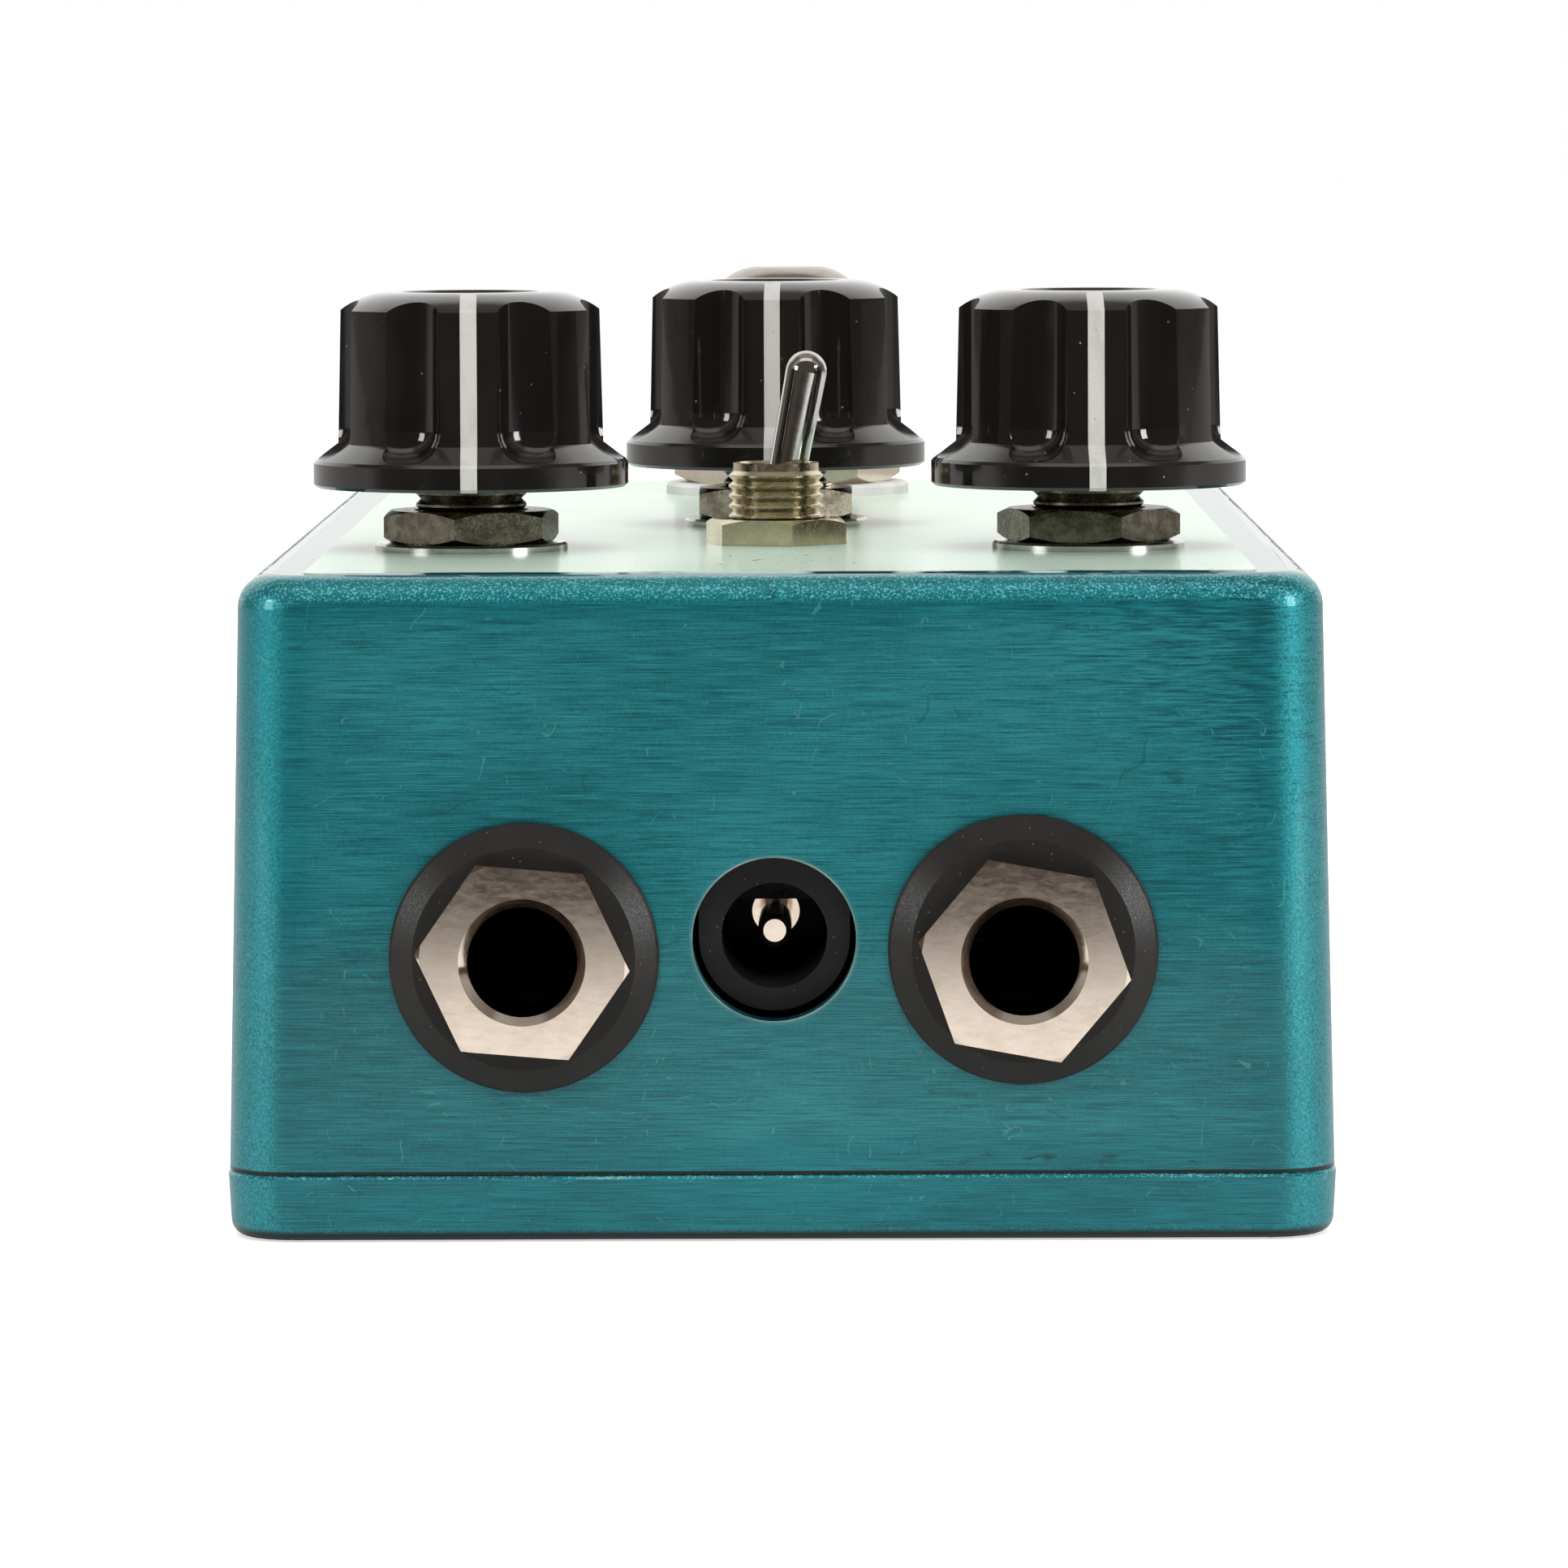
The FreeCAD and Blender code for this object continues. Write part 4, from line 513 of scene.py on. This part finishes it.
# nodes that look different from the rest of their slot; the toggle's nickel is darker and yellower, part
# tarnish and part painted shade, its tint a painted reflection of the mint label
OWN_FINISH = {"toggle_bushing": "nickel_tarnish_and_shade", "toggle_nut": "nickel_tarnish_and_shade", "pot_washers": "zinc_bright"}


def dress(node, slot):
    """Give a CAD node its finish."""
    piece = nodes[node]
    piece.data.materials.clear()
    piece.data.materials.append(MATERIALS[slot])


for entry in frame["record"]["subparts"]:
    dress(entry["node"], entry["material_slot"])
for node_name, finish in OWN_FINISH.items():
    dress(node_name, finish)


# ---------------------------------------------------------------- softened edges

SOFT_EDGES = {
    "enclosure_shell": 0.12, "base_lid": 0.10,
    "left_knob": 0.16, "right_knob": 0.16, "rear_knob": 0.16,
    "input_jack_nut": 0.14, "output_jack_nut": 0.14, "toggle_nut": 0.10, "pot_nuts": 0.14,
    "footswitch_nut": 0.16, "input_jack_washer": 0.08, "output_jack_washer": 0.08,
    "pot_washers": 0.06, "footswitch_washer": 0.08, "power_socket_body": 0.12, "lid_screws": 0.06,
}


def soften(node, width):
    """A small rounding on a CAD node's hard edges, as a modifier."""
    piece = nodes[node]
    bevel = piece.modifiers.new("soft_edges", "BEVEL")
    bevel.width = width * MM
    bevel.segments = 2
    bevel.limit_method = "ANGLE"
    bevel.angle_limit = math.radians(28.0)
    bevel.use_clamp_overlap = True
    bevel.harden_normals = True


# ---------------------------------------------------------------- floor, light and camera


def make_floor():
    """A plain pale light table, bright round the object and, in what it lights, dim far out in front."""
    mesh = bmesh.new()
    bmesh.ops.create_grid(mesh, x_segments=8, y_segments=8, size=6.0)
    data = bpy.data.meshes.new("floor")
    mesh.to_mesh(data)
    mesh.free()
    floor = bpy.data.objects.new("floor", data)
    floor.location.z = -0.0001
    bpy.context.scene.collection.objects.link(floor)
    shader = Shader("floor_paper", (0.85, 0.85, 0.85), 0.8)
    grain = shader.noise(shader.scaled((300.0, 300.0, 300.0)), 2.0)
    y = shader.parts()[1]
    seen = shader.add("ShaderNodeLightPath").outputs["Is Camera Ray"]
    near = shader.between(y, -0.44, -0.22)
    reach = shader.math("MAXIMUM", near, seen)
    paper = shader.mixed(grain, (0.84, 0.84, 0.84), (0.88, 0.88, 0.88))
    shader.put("Base Color", shader.mixed(reach, (0.022, 0.017, 0.015), paper))
    shader.put("Emission Color", (1.0, 1.0, 1.0, 1.0))
    shader.put("Emission Strength", shader.between(seen, 0.0, 1.0, 0.0, 0.60))
    data.materials.append(shader.material)


def make_softbox(name, place, width, height, power, mirrored):
    """An area light turned to the object."""
    light = bpy.data.lights.new(name, "AREA")
    light.shape = "RECTANGLE"
    light.size = width
    light.size_y = height
    light.energy = power
    box = bpy.data.objects.new(name, light)
    box.location = place
    box.rotation_euler = (Vector(LIT_PLACE) - Vector(place)).to_track_quat("-Z", "Y").to_euler()
    box.visible_glossy = mirrored
    bpy.context.scene.collection.objects.link(box)


def make_world():
    """A white sweep that rises behind the object and passes over it, with a dim room in front and beside."""
    world = bpy.data.worlds.new("studio")
    bpy.context.scene.world = world
    world.use_nodes = True
    tree = world.node_tree
    tree.nodes.clear()
    add = tree.nodes.new
    link = tree.links.new
    direction = add("ShaderNodeTexCoord").outputs["Generated"]
    split = add("ShaderNodeSeparateXYZ")
    link(direction, split.inputs[0])

    def band(value, low, high, to_low, to_high):
        node = add("ShaderNodeMapRange")
        node.interpolation_type = "SMOOTHSTEP"
        link(value, node.inputs[0])
        for socket, number in zip(node.inputs[1:5], (low, high, to_low, to_high)):
            socket.default_value = number
        return node.outputs[0]

    def combined(operation, first, second=None):
        node = add("ShaderNodeMath")
        node.operation = operation
        link(first, node.inputs[0])
        if isinstance(second, float):
            node.inputs[1].default_value = second
        elif second is not None:
            link(second, node.inputs[1])
        return node.outputs[0]

    # the angle up over the object, from 0 at the front horizon to pi at the rear one
    around = combined("ARCTAN2", split.outputs["Z"], combined("MULTIPLY", split.outputs["Y"], -1.0))
    aside = combined("ABSOLUTE", split.outputs["X"])
    strip = combined("MULTIPLY", band(around, math.radians(60.0), math.radians(66.0), 0.0, 1.0),
                     band(around, math.radians(78.0), math.radians(86.0), 1.0, 0.22))
    strip = combined("MULTIPLY", strip, band(aside, 0.35, 0.55, 1.0, 0.3))
    behind = combined("MULTIPLY", band(around, math.radians(112.0), math.radians(134.0), 0.0, 1.0),
                      band(aside, 0.60, 0.88, 1.0, 0.0))
    sweep = combined("MAXIMUM", strip, behind)
    mix = add("ShaderNodeMix")
    mix.data_type = "RGBA"
    link(sweep, mix.inputs["Factor"])
    mix.inputs["A"].default_value = (0.085, 0.066, 0.056, 1.0)
    mix.inputs["B"].default_value = (1.10, 1.09, 1.07, 1.0)
    seen = add("ShaderNodeLightPath").outputs["Is Camera Ray"]
    chosen = add("ShaderNodeMix")
    chosen.data_type = "RGBA"
    link(seen, chosen.inputs["Factor"])
    link(mix.outputs["Result"], chosen.inputs["A"])
    chosen.inputs["B"].default_value = (1.0, 1.0, 1.0, 1.0)
    background = add("ShaderNodeBackground")
    link(chosen.outputs["Result"], background.inputs["Color"])
    background.inputs["Strength"].default_value = 1.0
    link(background.outputs[0], add("ShaderNodeOutputWorld").inputs["Surface"])


# name, place, width, height, watts, and whether glossy surfaces mirror it
SOFTBOXES = (
    ("softbox_left", (-0.62, -0.36, 0.24), 0.20, 0.26, 1.2, True),
    ("softbox_right", (0.62, -0.36, 0.24), 0.22, 0.30, 2.2, True),
    ("fill_front", (0.0, -0.90, 0.75), 0.9, 0.5, 7.5, False),
    ("fill_over", (0.0, 0.1, 1.0), 0.9, 0.9, 3.0, False),
)
LIT_PLACE = (0.0, 0.0, 0.02)

CAMERA_PLACE = Vector((0.00285, SHELL_LOW.y - 0.480, 0.06775))
CAMERA_TURN = math.radians(-0.314)
CAMERA_DROP = math.radians(4.827)
CAMERA_ROLL = math.radians(-0.225)
CAMERA_LENS = 187.3


def make_camera():
    """The camera: in front, a little to the right of the middle and almost level."""
    forward = Vector((math.sin(CAMERA_TURN) * math.cos(CAMERA_DROP),
                      math.cos(CAMERA_TURN) * math.cos(CAMERA_DROP), -math.sin(CAMERA_DROP)))
    level = Vector((math.cos(CAMERA_TURN), -math.sin(CAMERA_TURN), 0.0))
    upright = level.cross(forward)
    right = level * math.cos(CAMERA_ROLL) + upright * math.sin(CAMERA_ROLL)
    up = upright * math.cos(CAMERA_ROLL) - level * math.sin(CAMERA_ROLL)
    lens = bpy.data.cameras.new("camera")
    lens.sensor_width = 36.0
    lens.lens = CAMERA_LENS
    lens.clip_start = 0.01
    lens.clip_end = 20.0
    camera = bpy.data.objects.new("camera", lens)
    turned = Matrix((right, up, -forward)).transposed().to_4x4()
    camera.matrix_world = Matrix.Translation(CAMERA_PLACE) @ turned
    bpy.context.scene.collection.objects.link(camera)
    bpy.context.scene.camera = camera


for soft_node, soft_width in SOFT_EDGES.items():
    soften(soft_node, soft_width)
make_floor()
make_world()
for softbox in SOFTBOXES:
    make_softbox(*softbox)
make_camera()
bpy.context.scene.view_settings.view_transform = "Standard"
